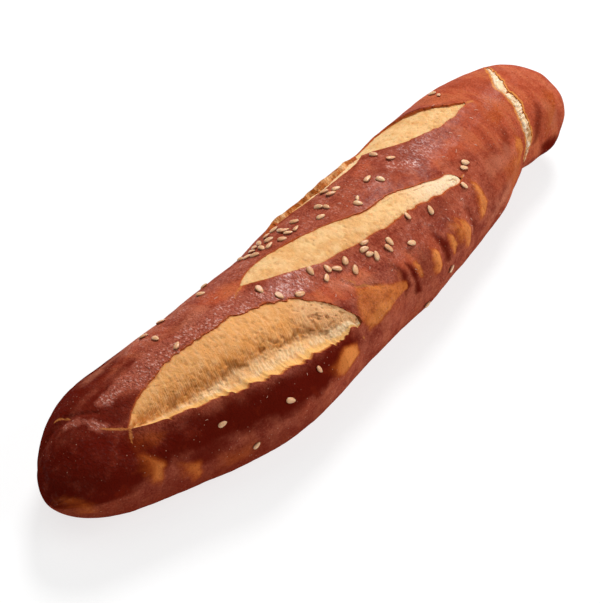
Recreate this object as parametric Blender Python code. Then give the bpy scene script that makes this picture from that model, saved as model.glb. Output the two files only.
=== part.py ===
"""A pretzel stick: a long lye-washed loaf with three oblique slashes, a cross split near one
end and sesame seeds stuck to its crust, all one solid. +X runs along the stick, +Z is up."""

import math
import random

import bpy
import numpy as np
from mathutils import Matrix, Vector

MM = 0.001
LENGTH = 226.0

# Cross-sections along the stick: half width, sideways bow of the centre line, lift off the tray.
STATIONS = (0.0, 30.0, 65.0, 100.0, 135.0, 170.0, 196.0, 226.0)
HALF_WIDTH = (23.0, 24.0, 27.0, 26.5, 26.5, 24.5, 21.0, 17.0)
BOW = (-10.0, -9.5, 1.0, 2.5, 3.5, 2.5, 2.0, 7.0)
LIFT = (2.0, 0.0, 0.0, 0.0, 0.0, 0.0, 4.0, 6.5)
TOP_RATIO = 0.78
BASE_RATIO = 0.64
SIDE_POWER = 0.9
FLAT_POWER = 0.75
TRAY_CUT = 1.0
NEAR_CAP, NEAR_BLUNT = 37.0, 1.7
FAR_CAP, FAR_BLUNT = 26.0, 3.4
MM_PER_DEGREE = 0.41

# Rows and columns of the skin. The columns wind round the loaf at the slashes' own slant, and
# crowd together where the slashes are. The rows bend to follow the split across the stick.
ROW_STEP = 3.0
END_ROWS = (0.25, 0.9, 2.0, 3.5, 5.3, 7.4)
SPLIT_MIDDLE = 203.0
ROW_BEND = 21.0
SLANT = 0.6
CUT_COLUMNS, CUT_FROM, CUT_TO = 27, -86.0, 74.0
OTHER_COLUMNS = 15
SNAP_DEGREES = 3.6

# A slash: where it starts and ends, its two lips in degrees round from the top, and how far
# the crumb lies below the crust from the far lip (0) to the near lip (1).
SLASHES = (
    {
        "at": (26, 32, 44, 56, 68, 80, 90, 96, 100),
        "far_lip": (18, 8, -2, -7, -6, 2, 21, 38, 54),
        "near_lip": (18, 26, 32, 36, 42, 49, 54, 56, 56),
        "depth": ((0, 0.5), (0.15, 0.9), (0.45, 2.0), (0.62, 4.0), (0.74, 6.2), (0.85, 4.6),
                  (0.93, 2.4), (1, 2.0)),
        "rims": (0.4, 1.3),
    },
    {
        "at": (83, 88, 94, 104, 116, 128, 140, 152, 160, 164),
        "far_lip": (-18, -24, -26, -19, -10, 0, 7, 18, 26, 33),
        "near_lip": (-18, -10.5, -2, 5.5, 13, 19, 22, 29, 32.5, 33.5),
        "depth": ((0, 1.5), (0.1, 1.3), (0.3, 0.7), (0.7, 0.6), (1, 1.1)),
        "rims": (0.5, 0.5),
    },
    {
        "at": (148, 152, 158, 164, 171, 177, 183, 187, 191),
        "far_lip": (-43, -48, -53, -54, -50, -37, -20, -9, -3),
        "near_lip": (-41, -37, -24, -14.5, -8, -3.5, -2, -2, -2),
        "depth": ((0, 3.0), (0.25, 2.8), (0.6, 1.5), (1, 0.7)),
        "rims": (0.6, 0.3),
    },
)

# The split across the stick: degrees round, centre along the stick, half width.
SPLIT_ROUND = (-62, -31, -8, 6, 18, 31, 42, 54, 66, 80, 96)
SPLIT_AT = (212, 211, 206.5, 203.5, 201.5, 200, 198, 196.3, 195.5, 194.7, 194)
SPLIT_HALF = (0.4, 0.8, 0.9, 1.6, 1.6, 1.7, 1.9, 1.9, 1.6, 1.0, 0.3)
SPLIT_DEPTH = 1.5

# The crack that carries the last slash on down the back, and the torn lip standing behind it.
CRACK_AT = (106, 112, 120, 131, 140, 148)
CRACK_ROUND = (-47, -50, -50, -46, -43, -42)
CRACK_DEPTH = 0.9
TORN_LIP = 1.8
TORN_REACH = 5.0

# Folds of the dough: depth (below zero for a ridge), width, then the points it runs through.
FOLDS = (
    (1.8, 2.0, ((24, -12), (19, -30), (15, -46), (10, -62), (7, -85))),
    (1.3, 1.6, ((6, -52), (3, -30), (1.5, 20), (3, 80), (6, 105))),
    (1.4, 4.0, ((195, 84), (195, 100), (196, 120), (197, 140))),
    (1.2, 3.5, ((213, -60), (212, -80), (212, -110))),
    (-1.2, 4.0, ((210, 108), (213, 118))),
    (-0.8, 5.0, ((186, 60), (178, 90))),
)
# Broad swellings of the loaf: height, reach, where.
SWELLINGS = (
    (1.0, 9.0, (14, 40)),
    (0.9, 7.0, (88, 72)),
    (0.9, 8.0, (109, 56)),
    (0.8, 6.0, (135, 58)),
    (0.8, 6.0, (150, 62)),
    (-0.9, 8.0, (122, 75)),
    (-0.7, 7.0, (60, -30)),
    (0.9, 7.0, (146, -8)),
    (0.8, 8.0, (44, 108)),
    (-1.7, 13.0, (37, -56)),
    (-1.2, 7.0, (156, -56)),
    (0.9, 4.0, (222, 8)),
    (-0.6, 9.0, (98, -62)),
)

# Handfuls of sesame: along, round, spread, how many.
SESAME = (
    (54, -37, 3, 2), (55, -11, 0, 1), (63, -50, 0, 1), (76, -44, 0, 1), (86, -58, 0, 1),
    (46, 53, 0, 1), (52, 87, 0, 1), (65, 63, 0, 1), (78, 60, 0, 1), (85, -7, 0, 1),
    (89, 7, 3, 2), (100, 7, 0, 1), (103, 13, 2, 2), (109, 16, 2, 2), (111, 25, 0, 1),
    (118, 21, 3, 4), (124, 28, 2, 2), (131, 39, 0, 1), (137, 25, 0, 1), (145, 33, 0, 1),
    (98, -40, 4, 5), (103, -41, 4, 6), (110, -33, 4, 6), (115, -34, 0, 1), (120, -18, 0, 1),
    (125, -23, 3, 2), (131, -27, 3, 3), (131, -6, 2, 2), (141, -12, 0, 1), (143, -3, 0, 1),
    (153, -25, 0, 1), (155, -13, 0, 1), (163, 39, 0, 1), (169, 29, 2, 2), (190, -33, 4, 2),
    (128, 98, 0, 1), (141, 84, 0, 1),
)
SEED_LENGTH, SEED_WIDTH, SEED_THICK = 3.3, 2.0, 1.2
SEED_SIDES = 5
SEED_SPACING = 1.9
SEED_CLEAR = 0.4
RANDOM_SEED = 11


def through(x, at, values):
    """A smooth curve through the given values."""
    at, values = np.asarray(at, float), np.asarray(values, float)
    x = np.clip(x, at[0], at[-1])
    slope = np.gradient(values, at)
    i = np.clip(np.searchsorted(at, x, side="right") - 1, 0, len(at) - 2)
    h = at[i + 1] - at[i]
    t = (x - at[i]) / h
    start = (2 * t**3 - 3 * t**2 + 1) * values[i] + (t**3 - 2 * t**2 + t) * h * slope[i]
    end = (3 * t**2 - 2 * t**3) * values[i + 1] + (t**3 - t**2) * h * slope[i + 1]
    return start + end


def rounding(x):
    """How full the section is: 1 along the stick, falling to 0 at its two rounded ends."""
    near = 1 - np.clip(x / NEAR_CAP, 0, 1)
    far = 1 - np.clip((LENGTH - x) / FAR_CAP, 0, 1)
    return (1 - near**NEAR_BLUNT) ** (1 / NEAR_BLUNT) * (1 - far**FAR_BLUNT) ** (1 / FAR_BLUNT)


def skin(x, round_, lift=0.0):
    """Points of the loaf in mm, for distances along it and degrees round it from the top."""
    x, round_, lift = np.broadcast_arrays(np.asarray(x, float), round_, lift)
    turn = np.radians(round_)
    sine, cosine = np.sin(turn), np.cos(turn)
    full = through(x, STATIONS, HALF_WIDTH)
    half = full * rounding(x)
    across = half * np.sign(sine) * np.abs(sine) ** SIDE_POWER
    rise = np.where(
        cosine > 0,
        TOP_RATIO * half * np.abs(cosine),
        -BASE_RATIO * half * np.abs(cosine) ** FLAT_POWER,
    )
    reach = np.hypot(across, rise) + 1e-9
    stretch = 1 + lift / np.maximum(reach, 2.0)
    middle = BASE_RATIO * full - TRAY_CUT + through(x, STATIONS, LIFT)
    y = -through(x, STATIONS, BOW) - across * stretch
    z = np.maximum(middle + rise * stretch, 0)
    return np.stack([x, y, z], axis=-1)


def unrolled(x, round_):
    """The same place on a flat chart in mm: along, across."""
    return np.stack([np.asarray(x, float), MM_PER_DEGREE * np.asarray(round_, float)], axis=-1)


def nearest(points, line):
    """For each point, its distance to a line of points and the closest place on that line."""
    start, step = line[:-1], np.diff(line, axis=0)
    length = np.maximum((step**2).sum(-1), 1e-12)
    along = ((points[:, None] - start) * step).sum(-1) / length
    spots = start + np.clip(along, 0, 1)[..., None] * step
    gaps = np.linalg.norm(points[:, None] - spots, axis=-1)
    best = gaps.argmin(axis=1)
    rows = np.arange(len(points))
    return gaps[rows, best], spots[rows, best]


def lip_line(slash, lip, count=50):
    x = np.linspace(slash["at"][0], slash["at"][-1], count)
    return unrolled(x, through(x, slash["at"], slash[lip]))


def crack_line(count=30):
    x = np.linspace(CRACK_AT[0], CRACK_AT[-1], count)
    return unrolled(x, through(x, CRACK_AT, CRACK_ROUND))


def snapped(x, turn):
    """In each row, moves the point nearest to each lip, and to the crack, round onto it."""
    edges = [(slash["at"], slash[lip]) for slash in SLASHES for lip in ("far_lip", "near_lip")]
    edges.append((CRACK_AT, CRACK_ROUND))
    turn = turn.copy()
    free = np.ones(turn.shape, bool)
    rows = np.arange(len(turn))
    for at, values in edges:
        goal = through(x, at, values)
        gap = np.where(free & (x > at[0]) & (x < at[-1]), np.abs(turn - goal), 1e3)
        best = gap.argmin(axis=1)
        close = gap[rows, best] < SNAP_DEGREES
        turn[rows[close], best[close]] = goal[rows[close], best[close]]
        free[rows[close], best[close]] = False
    return turn


def slash_relief(x, round_):
    """Crumb below the crust inside each slash, and the raised rim outside it."""
    chart = unrolled(x, round_)
    lift = np.zeros(len(x))
    inside_any = np.zeros(len(x), bool)
    for slash in SLASHES:
        far = through(x, slash["at"], slash["far_lip"])
        near = through(x, slash["at"], slash["near_lip"])
        width = np.maximum(near - far, 0.01)
        share = (round_ - far) / width
        first, last = slash["at"][0], slash["at"][-1]
        margin = 0.2 / MM_PER_DEGREE / width
        inside = (x > first) & (x < last) & (share > margin) & (share < 1 - margin)
        fade = np.clip(width * MM_PER_DEGREE / 6.0, 0, 1) ** 0.6
        place, depth = zip(*slash["depth"])
        lift = np.where(inside, -np.interp(share, place, depth) * fade, lift)
        inside_any |= inside
        for rim, lip in zip(slash["rims"], ("far_lip", "near_lip")):
            gap = nearest(chart, lip_line(slash, lip))[0]
            lift += np.where(inside, 0, rim * np.exp(-((gap / 3.0) ** 2)) * (0.3 + 0.7 * fade))
    return lift, inside_any


def split_relief(x, round_):
    centre = through(round_, SPLIT_ROUND, SPLIT_AT)
    half = through(round_, SPLIT_ROUND, SPLIT_HALF)
    across = (round_ > SPLIT_ROUND[0]) & (round_ < SPLIT_ROUND[-1])
    inside = across & (np.abs(x - centre) < half - 0.15)
    edge = np.maximum(np.abs(x - centre) - half, 0)
    rim = np.where(across, 0.5 * np.exp(-((edge / 2.5) ** 2)), 0)
    return np.where(inside, -SPLIT_DEPTH, rim)


def crack_relief(x, round_):
    """A narrow crack with a thin lip of crust standing up on its far side."""
    gap, spot = nearest(unrolled(x, round_), crack_line())
    behind = MM_PER_DEGREE * round_ < spot[:, 1] - 0.2
    along = np.clip((x - CRACK_AT[0]) / (CRACK_AT[-1] + 6 - CRACK_AT[0]), 0, 1)
    swell = np.sin(np.pi * along) ** 0.8 * (0.8 + 0.2 * np.sin(x * 0.9))
    lip = np.where(behind, TORN_LIP * swell * np.exp(-((gap / TORN_REACH) ** 2)), 0)
    return lip - np.where(gap < 0.3, CRACK_DEPTH, 0)


def dough_relief(x, round_):
    """Folds, ridges and broad swellings, measured in space so that they cross the ends well."""
    place = skin(x, round_)
    lift = 0.35 * np.sin(x * 0.11 + 1.0) * np.sin(np.radians(round_) * 3 + x * 0.05)
    for depth, width, points in FOLDS:
        at, turn = zip(*points)
        steps = np.linspace(0, 1, 24)
        spread = np.linspace(0, 1, len(at))
        line = skin(np.interp(steps, spread, at), np.interp(steps, spread, turn))
        gap = nearest(place, line)[0]
        lift = lift - depth * np.exp(-((gap / width) ** 2))
    for height, reach, (at, turn) in SWELLINGS:
        gap = np.linalg.norm(place - skin(at, turn), axis=-1)
        lift = lift + height * np.exp(-((gap / reach) ** 2))
    return lift


def relief(x, round_):
    slash, inside = slash_relief(x, round_)
    lift = slash + split_relief(x, round_) + np.where(inside, 0, crack_relief(x, round_))
    lift = lift + dough_relief(x, round_) * np.where(inside, 0.6, 1)
    underside = np.clip((np.abs(round_) - 120) / 40, 0, 1)
    return lift * (1 - underside) * np.clip(rounding(x) * 2.2, 0.15, 1)


def skin_grid():
    """The rows and columns of the skin, as distances along the stick and degrees round it."""
    before = np.arange(END_ROWS[-1] + ROW_STEP, SPLIT_MIDDLE - ROW_STEP, ROW_STEP)
    after = np.arange(SPLIT_MIDDLE + 1.5 * ROW_STEP, LENGTH - END_ROWS[-1] - 1, ROW_STEP)
    split = np.full(3, SPLIT_MIDDLE)
    rows = np.concatenate([END_ROWS, before, split, after, LENGTH - np.array(END_ROWS)[::-1]])
    cuts = np.linspace(CUT_FROM, CUT_TO, CUT_COLUMNS)
    columns = np.concatenate([cuts, np.linspace(CUT_TO, CUT_FROM + 360, OTHER_COLUMNS + 2)[1:-1]])
    x, turn = np.meshgrid(rows, columns, indexing="ij")
    turn = (turn + SLANT * (x - LENGTH / 2) + 180) % 360 - 180
    closed = (-180, *SPLIT_ROUND, 180)
    bend = through(turn, closed, (SPLIT_MIDDLE, *SPLIT_AT, SPLIT_MIDDLE)) - SPLIT_MIDDLE
    x = x + bend * np.clip(1 - np.abs(x - SPLIT_MIDDLE) / ROW_BEND, 0, 1)
    first = len(END_ROWS) + len(before)
    half = through(turn, closed, (0.4, *SPLIT_HALF, 0.4))
    x[first] -= half[first]
    x[first + 2] += half[first + 2]
    return x, snapped(x, turn)


def loaf_mesh():
    """The skin over its grid, closed by one point at each end."""
    x, turn = skin_grid()
    rows, count = x.shape
    x, turn = x.ravel(), turn.ravel()
    lift = relief(x, turn)
    points = skin(x, turn, lift)
    ends = skin(np.array([0.0, LENGTH]), 0.0)
    vertices = [tuple(p) for p in np.concatenate([points, ends]) * MM]
    faces = []
    for i in range(rows - 1):
        for j in range(count):
            k = (j + 1) % count
            a, b, c, d = i * count + j, i * count + k, (i + 1) * count + k, (i + 1) * count + j
            level = abs(lift[a] - lift[c]) < abs(lift[b] - lift[d])
            faces += [(a, b, c), (a, c, d)] if level else [(a, b, d), (b, c, d)]
    first, last = len(points), len(points) + 1
    tail = (rows - 1) * count
    faces += [((j + 1) % count, j, first) for j in range(count)]
    faces += [(tail + j, tail + (j + 1) % count, last) for j in range(count)]
    mesh = bpy.data.meshes.new("loaf")
    mesh.from_pydata(vertices, [], faces)
    mesh.update()
    return mesh


def surface_at(x, turn):
    """A point of the crust and the frame of directions there."""
    around = np.array([(0, 0), (0.6, 0), (-0.6, 0), (0, 1.5), (0, -1.5)])
    spots = around + (x, turn)
    points = skin(spots[:, 0], spots[:, 1], relief(spots[:, 0], spots[:, 1]))
    along = Vector(points[1] - points[2]).normalized()
    normal = along.cross(Vector(points[3] - points[4])).normalized()
    if normal.dot(Vector(points[0] - skin(x, turn, -8.0))) < 0:
        normal = -normal
    return Vector(points[0]), along, normal


def clear_of_cuts(x, turn):
    chart = unrolled([x], [turn])
    lips = [lip_line(slash, lip) for slash in SLASHES for lip in ("far_lip", "near_lip")]
    if slash_relief(np.array([float(x)]), np.array([float(turn)]))[1][0]:
        return False
    return all(nearest(chart, line)[0][0] > SEED_CLEAR for line in lips)


def sesame_spots():
    """Where the seeds land: handfuls with gaps kept between seeds, and none in a slash."""
    draw = random.Random(RANDOM_SEED)
    spots = []
    for along, turn, spread, count in SESAME:
        placed = 0
        for _ in range(60):
            if placed == count:
                break
            x = along + draw.uniform(-1, 1) * spread
            round_ = turn + draw.uniform(-1, 1) * spread / MM_PER_DEGREE
            heading = draw.uniform(0, math.pi)
            size = draw.uniform(0.9, 1.05)
            room = all(
                math.hypot(x - s[0], MM_PER_DEGREE * (round_ - s[1])) > SEED_SPACING for s in spots
            )
            if room and clear_of_cuts(x, round_):
                spots.append((x, round_, heading, size))
                placed += 1
    return spots


def seed_mesh(x, turn, heading, size):
    """A flat drop: two rings of points between a blunt end and a pointed one."""
    centre, along, normal = surface_at(x, turn)
    side = normal.cross(along).normalized()
    long = along * math.cos(heading) + side * math.sin(heading)
    wide = normal.cross(long).normalized()
    turn_to = Matrix((long, wide, normal)).transposed()
    rings = ((-0.22, 0.94), (0.2, 0.72))
    points = [Vector((-0.5 * SEED_LENGTH, 0, 0))]
    for place, girth in rings:
        for k in range(SEED_SIDES):
            angle = 2 * math.pi * (k + 0.5) / SEED_SIDES
            points.append(Vector((
                place * SEED_LENGTH,
                0.5 * girth * SEED_WIDTH * math.cos(angle),
                0.5 * girth * SEED_THICK * math.sin(angle),
            )))
    points.append(Vector((0.5 * SEED_LENGTH, 0, 0)))
    seat = centre + normal * 0.12
    vertices = [(seat + turn_to @ (p * size)) * MM for p in points]
    faces = []
    for k in range(SEED_SIDES):
        a, b = 1 + k, 1 + (k + 1) % SEED_SIDES
        c, d = b + SEED_SIDES, a + SEED_SIDES
        faces += [(0, b, a), (a, b, c), (a, c, d), (len(points) - 1, d, c)]
    mesh = bpy.data.meshes.new("sesame")
    mesh.from_pydata(vertices, [], faces)
    mesh.update()
    return mesh


def crust_material():
    material = bpy.data.materials.new("baked_crust")
    material.use_nodes = True
    shader = material.node_tree.nodes["Principled BSDF"]
    shader.inputs["Base Color"].default_value = (0.30, 0.06, 0.02, 1)
    shader.inputs["Roughness"].default_value = 0.4
    return material


def main():
    for old in list(bpy.data.objects):
        bpy.data.objects.remove(old)
    stick = bpy.data.objects.new("pretzel_stick", loaf_mesh())
    bpy.context.scene.collection.objects.link(stick)
    stick.data.materials.append(crust_material())

    seeds = bpy.data.collections.new("sesame")
    bpy.context.scene.collection.children.link(seeds)
    spots = sesame_spots()
    for spot in spots:
        seeds.objects.link(bpy.data.objects.new("sesame", seed_mesh(*spot)))
    print(len(spots), "seeds")

    fuse = stick.modifiers.new("fuse_seeds", "BOOLEAN")
    fuse.operation = "UNION"
    fuse.operand_type = "COLLECTION"
    fuse.collection = seeds
    fuse.solver = "EXACT"
    bpy.context.view_layer.objects.active = stick
    stick.select_set(True)
    bpy.ops.object.modifier_apply(modifier=fuse.name)
    for seed in list(seeds.objects):
        bpy.data.objects.remove(seed)
    bpy.data.collections.remove(seeds)

    corners = np.array([v.co for v in stick.data.vertices])
    middle = (corners.min(axis=0) + corners.max(axis=0)) / 2
    stick.data.transform(Matrix.Translation((-middle[0], -middle[1], -corners[:, 2].min())))
    stick.data.shade_smooth()
    stick.data.set_sharp_from_angle(angle=math.radians(50))
    print("moved by", [round(float(v) / MM, 3) for v in middle[:2]], "size",
          [round(float(v) / MM, 2) for v in corners.max(axis=0) - corners.min(axis=0)])


main()
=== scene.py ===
# %% [markdown]
# # A pretzel stick
#
# A pretzel stick is a long roll of dough that is dipped in lye before it is baked. The lye turns
# the skin into a thin, glossy, red-brown crust. The baker slashes it, and the dough that swells
# up through each slash has had no lye on it, so it stays pale. We build the crust as one skin,
# the pale crumb as a patch of its own in each slash, and the sesame seeds as a mesh on top.
#
# First we open the packed model. Its solid gives the true size, and everything that we add
# stays inside its box, so we note that box before we touch anything.

# %% Open the frame
import itertools
import math
import random

import bpy
import numpy as np
from mathutils import Matrix, Vector


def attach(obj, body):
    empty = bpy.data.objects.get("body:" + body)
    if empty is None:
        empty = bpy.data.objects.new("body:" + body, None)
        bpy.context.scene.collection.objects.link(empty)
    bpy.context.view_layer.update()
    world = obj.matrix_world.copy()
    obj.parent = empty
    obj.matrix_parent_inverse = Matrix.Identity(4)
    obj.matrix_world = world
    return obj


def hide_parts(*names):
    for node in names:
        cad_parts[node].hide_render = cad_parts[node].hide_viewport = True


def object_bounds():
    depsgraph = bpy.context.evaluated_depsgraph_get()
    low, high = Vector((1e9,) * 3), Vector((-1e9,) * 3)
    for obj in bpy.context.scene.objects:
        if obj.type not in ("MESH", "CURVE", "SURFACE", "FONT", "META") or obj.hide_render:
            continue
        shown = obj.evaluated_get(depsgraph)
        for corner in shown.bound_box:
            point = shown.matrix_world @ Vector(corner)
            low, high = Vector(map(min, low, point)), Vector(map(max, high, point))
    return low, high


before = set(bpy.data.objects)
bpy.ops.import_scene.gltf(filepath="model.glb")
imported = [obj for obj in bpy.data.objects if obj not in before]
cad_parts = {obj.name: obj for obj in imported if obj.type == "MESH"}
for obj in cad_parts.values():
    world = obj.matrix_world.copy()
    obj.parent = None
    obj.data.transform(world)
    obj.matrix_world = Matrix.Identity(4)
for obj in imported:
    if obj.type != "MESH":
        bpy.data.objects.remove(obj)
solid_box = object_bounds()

print("solid box", [[round(v * 1000, 2) for v in corner] for corner in solid_box], "mm")

# %% [markdown]
# ## A way to name places on the loaf
#
# A point of the crust has two natural addresses: how many millimetres it lies along the stick,
# and how many degrees round it from the top. `skin` turns the pair into a point in space. It
# could be sculpted by hand instead, but with an address the slashes, the seeds and the paler
# patches can all be placed by the same two numbers, and they stay on the surface.

# %% The plain loaf
MM = 0.001
LENGTH = 226.0
SIDE_SHIFT = 0.843
MM_PER_DEGREE = 0.41

STATIONS = (0.0, 30.0, 65.0, 100.0, 135.0, 170.0, 196.0, 226.0)
HALF_WIDTH = (23.0, 24.0, 27.0, 26.5, 26.5, 24.5, 21.0, 17.0)
BOW = (-10.0, -9.5, 1.0, 2.5, 3.5, 2.5, 2.0, 7.0)
LIFT = (2.0, 0.0, 0.0, 0.0, 0.0, 0.0, 4.0, 6.5)
NEAR_END, FAR_END = (37.0, 1.7), (26.0, 3.4)  # mm over which each end closes, and how bluntly
CROWN, BELLY, FLAT = 0.78, 0.64, 1.0  # height as a share of half the width; mm flattened below


def through(x, at, values):
    """A smooth curve through the given values."""
    at, values = np.asarray(at, float), np.asarray(values, float)
    x = np.clip(x, at[0], at[-1])
    slope = np.gradient(values, at)
    i = np.clip(np.searchsorted(at, x, side="right") - 1, 0, len(at) - 2)
    h = at[i + 1] - at[i]
    t = (x - at[i]) / h
    start = (2 * t**3 - 3 * t**2 + 1) * values[i] + (t**3 - 2 * t**2 + t) * h * slope[i]
    end = (3 * t**2 - 2 * t**3) * values[i + 1] + (t**3 - t**2) * h * slope[i + 1]
    return start + end


def rounding(x):
    """How full the section is: 1 along the stick, 0 at the tip of each end."""
    full = 1.0
    for gap, (reach, power) in ((x, NEAR_END), (LENGTH - x, FAR_END)):
        full = full * (1 - (1 - np.clip(gap / reach, 0, 1)) ** power) ** (1 / power)
    return full


def skin(x, turn, lift=0.0):
    """Points in mm for distances along the loaf and degrees round it, lifted off its surface."""
    x, turn, lift = np.broadcast_arrays(np.asarray(x, float), turn, lift)
    sine, cosine = np.sin(np.radians(turn)), np.cos(np.radians(turn))
    full = through(x, STATIONS, HALF_WIDTH)
    half = full * rounding(x)
    across = half * np.sign(sine) * np.abs(sine) ** 0.9
    rise = np.where(
        cosine > 0, CROWN * half * np.abs(cosine), -BELLY * half * np.abs(cosine) ** 0.75
    )
    stretch = 1 + lift / np.maximum(np.hypot(across, rise), 2.0)
    middle = BELLY * full - FLAT + through(x, STATIONS, LIFT)
    y = -through(x, STATIONS, BOW) - across * stretch
    return np.stack([x, y, np.maximum(middle + rise * stretch, 0)], axis=-1)


def in_row_frame(points):
    """From loaf millimetres to metres round the object's own origin."""
    return (np.asarray(points) - (LENGTH / 2, SIDE_SHIFT, 0)) * MM


print("top of the plain loaf at mid length:", round(float(skin(113, 0)[2]), 1), "mm")

# %% [markdown]
# ## Smooth random fields
#
# Baked dough is never regular, so most shapes below are a plain rule plus some noise. Blender
# has noise for single points, but we need it for a hundred thousand at once. Value noise is
# short to write: random numbers on the corners of a grid, blended smoothly inside each cell.
# The grid is seeded, so every run gives the same loaf.

# %% Noise for many points
def field(points, size, seed, grid=24):
    """Smooth random values from -1 to 1; size is the width in mm of one bump."""
    table = np.random.default_rng(seed).uniform(-1, 1, (grid, grid, grid))
    q = np.asarray(points, float) / size
    base = np.floor(q).astype(int)
    part = q - base
    part = part**3 * (part * (part * 6 - 15) + 10)
    total = np.zeros(q.shape[:-1])
    for corner in itertools.product((0, 1), repeat=3):
        weight = np.prod(np.where(corner, part, 1 - part), axis=-1)
        i, j, k = np.moveaxis((base + corner) % grid, -1, 0)
        total += weight * table[i, j, k]
    return total


def chart(x, turn):
    """The skin unrolled flat, in mm: along, across and a spare third axis."""
    x, turn = np.broadcast_arrays(np.asarray(x, float), np.asarray(turn, float))
    return np.stack([x, MM_PER_DEGREE * turn, np.zeros_like(x)], axis=-1)


def smooth_step(value, low, high):
    """0 below low, 1 above high, and smooth between."""
    t = np.clip((np.asarray(value, float) - low) / (high - low), 0, 1)
    return t * t * (3 - 2 * t)


sample = field(np.random.default_rng(1).uniform(0, 50, (999, 3)), 3, 2)
print("noise runs from", round(float(sample.min()), 2), "to", round(float(sample.max()), 2))

# %% [markdown]
# ## The slashes
#
# The baker draws the blade along the stick at a slant. Each slash opens into a long lens with
# a far lip and a near lip. The first one has torn wide open and deep; the second has filled
# almost level with the crust; the third hides half behind the top of the loaf and runs on as
# a narrow crack. Each is written as its two lips and a profile of how deep the crumb lies.
#
# A lip is never a clean curve: the crust there is thin and brittle and breaks in small teeth.
# `ragged` sets how far they stick out, and how long each one is, for the far and the near lip.
# `rims` is how high the crust is raised beside each lip, and `wild` is 1 where the teeth grow
# longer towards the far end of the slash.

# %% Slashes as pairs of lips
SLASHES = {
    "near": {
        "at": (26, 32, 44, 56, 68, 80, 90, 96, 100),
        "far_lip": (18, 8, -2, -7, -6, 1, 15, 32, 51),
        "near_lip": (18, 26, 32, 36, 42, 49, 54, 56, 57),
        "depth": ((0, 0.2), (0.1, 0.3), (0.3, 0.8), (0.5, 1.7), (0.62, 2.5), (0.74, 2.9),
                  (0.84, 2.7), (0.93, 2.0), (1, 1.2)),
        "rims": (0.25, 0.5),
        "ragged": ((0.9, 3.4), (1.3, 2.6)),
        "wild": 1,
    },
    "middle": {
        "at": (83, 88, 94, 104, 116, 128, 140, 152, 158, 162, 163.5),
        "far_lip": (-19, -24.5, -26, -20.5, -11, 0.5, 4, 15, 21, 25.5, 32),
        "near_lip": (-19, -10, -3, 5, 12, 17.5, 21, 28.5, 32, 34, 33.5),
        "depth": ((0, 0.12), (0.1, 0.08), (0.25, -0.05), (0.55, -0.2), (0.85, 0.0), (1, 0.3)),
        "rims": (0.15, 0.35),
        "ragged": ((0.35, 4.0), (0.6, 3.0)),
        "wild": 0,
    },
    "far": {
        "at": (148, 152, 158, 164, 171, 177, 183, 187, 191),
        "far_lip": (-43, -48, -53, -54, -50, -37, -20, -9, -3),
        "near_lip": (-41, -37, -24, -14.5, -8, -3.5, -2, -2, -2),
        "depth": ((0, 0.25), (0.1, 0.3), (0.35, 0.3), (0.7, 0.25), (1, 0.35)),
        "rims": (0.5, 0.3),
        "ragged": ((0.7, 2.4), (0.4, 4.0)),
        "wild": 0,
    },
    "crack": {
        "at": (107, 112, 120, 126, 131, 140, 147, 152),
        "far_lip": (-49.5, -50, -48.5, -45.5, -42, -39.5, -39.5, -38),
        "near_lip": (-48.5, -48.5, -45.5, -41.5, -37, -34, -33, -36),
        "depth": ((0, 0.7), (0.4, 0.35), (1, 0.1)),
        "rims": (2.0, 0.25),
        "ragged": ((0.5, 3.0), (0.3, 2.5)),
        "wild": 0,
    },
}
WILD_END = (84, 94)  # mm along the stick between which the wild teeth grow
print({name: f"{s['at'][-1] - s['at'][0]} mm" for name, s in SLASHES.items()})


# %% The torn line of a lip
def lip(slash, side, x):
    """Degrees round at which a slash's far or near lip lies, broken into small teeth."""
    first, last = slash["at"][0], slash["at"][-1]
    run = np.clip((x - first) / (last - first), 0, 1)
    depth, length = slash["ragged"][side == "near_lip"]
    x = np.asarray(x, float)
    line = np.stack([x, np.full(x.shape, first + 7.3), np.zeros(x.shape)], -1)
    teeth = 1 - 2 * np.abs(field(line, length, 5 + (side == "near_lip")))
    teeth = teeth + 0.45 * (1 - 2 * np.abs(field(line, length / 2.6, 8))) - 0.15
    inward = 1 if side == "far_lip" else -1
    growth = 1 + slash["wild"] * smooth_step(x, *WILD_END)
    swing = (
        inward * depth * growth * (teeth - 0.5) * (0.25 + 0.75 * run)
        * np.sin(np.pi * run) ** 0.4
    )
    return through(x, slash["at"], slash[side]) + swing / MM_PER_DEGREE


FAR_OUT = -9.0  # stands for a place well outside every slash


def place_in(slash, x, turn):
    """Share of the way from far lip to near lip, the width in mm, and mm inside the outline."""
    far, near = lip(slash, "far_lip", x), lip(slash, "near_lip", x)
    width = np.maximum(near - far, 0.02)
    share = (turn - far) / width
    within = (x > slash["at"][0]) & (x < slash["at"][-1])
    margin = np.minimum(share, 1 - share) * width * MM_PER_DEGREE
    return share, width * MM_PER_DEGREE, np.where(within, margin, FAR_OUT)


opened = place_in(SLASHES["near"], 66.0, 15.0)[1]
print("the near slash is", np.round(opened, 1), "mm wide at 66 mm")

# %% [markdown]
# ## The crumb in a slash
#
# How far the crumb lies below the crust is the slash's profile, faded towards its two tips,
# plus its own texture. In the deep slash the dough has been pulled apart, so it has strands
# that run across the tear, with hollows between them. In the shallow ones it is close and
# fine, with a few pores. Real strands could be modelled one by one, but at this scale they
# merge, and stretched noise gives the same combed look.
#
# The baked wall of the deep slash meets its torn strands along a wandering line. `JUNCTION`
# gives how far across the slash that line lies.

# %% Depth of the crumb
def crumb_depth(slash, share, width, x):
    """Depth in mm of the crumb below the unbroken crust."""
    at, depth = zip(*slash["depth"])
    ending = 1 - 0.9 * smooth_step(x, slash["at"][-1] - 19, slash["at"][-1] - 3)
    return np.interp(share, at, depth) * smooth_step(width, 0.0, 7.0) ** 0.5 * ending


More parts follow.
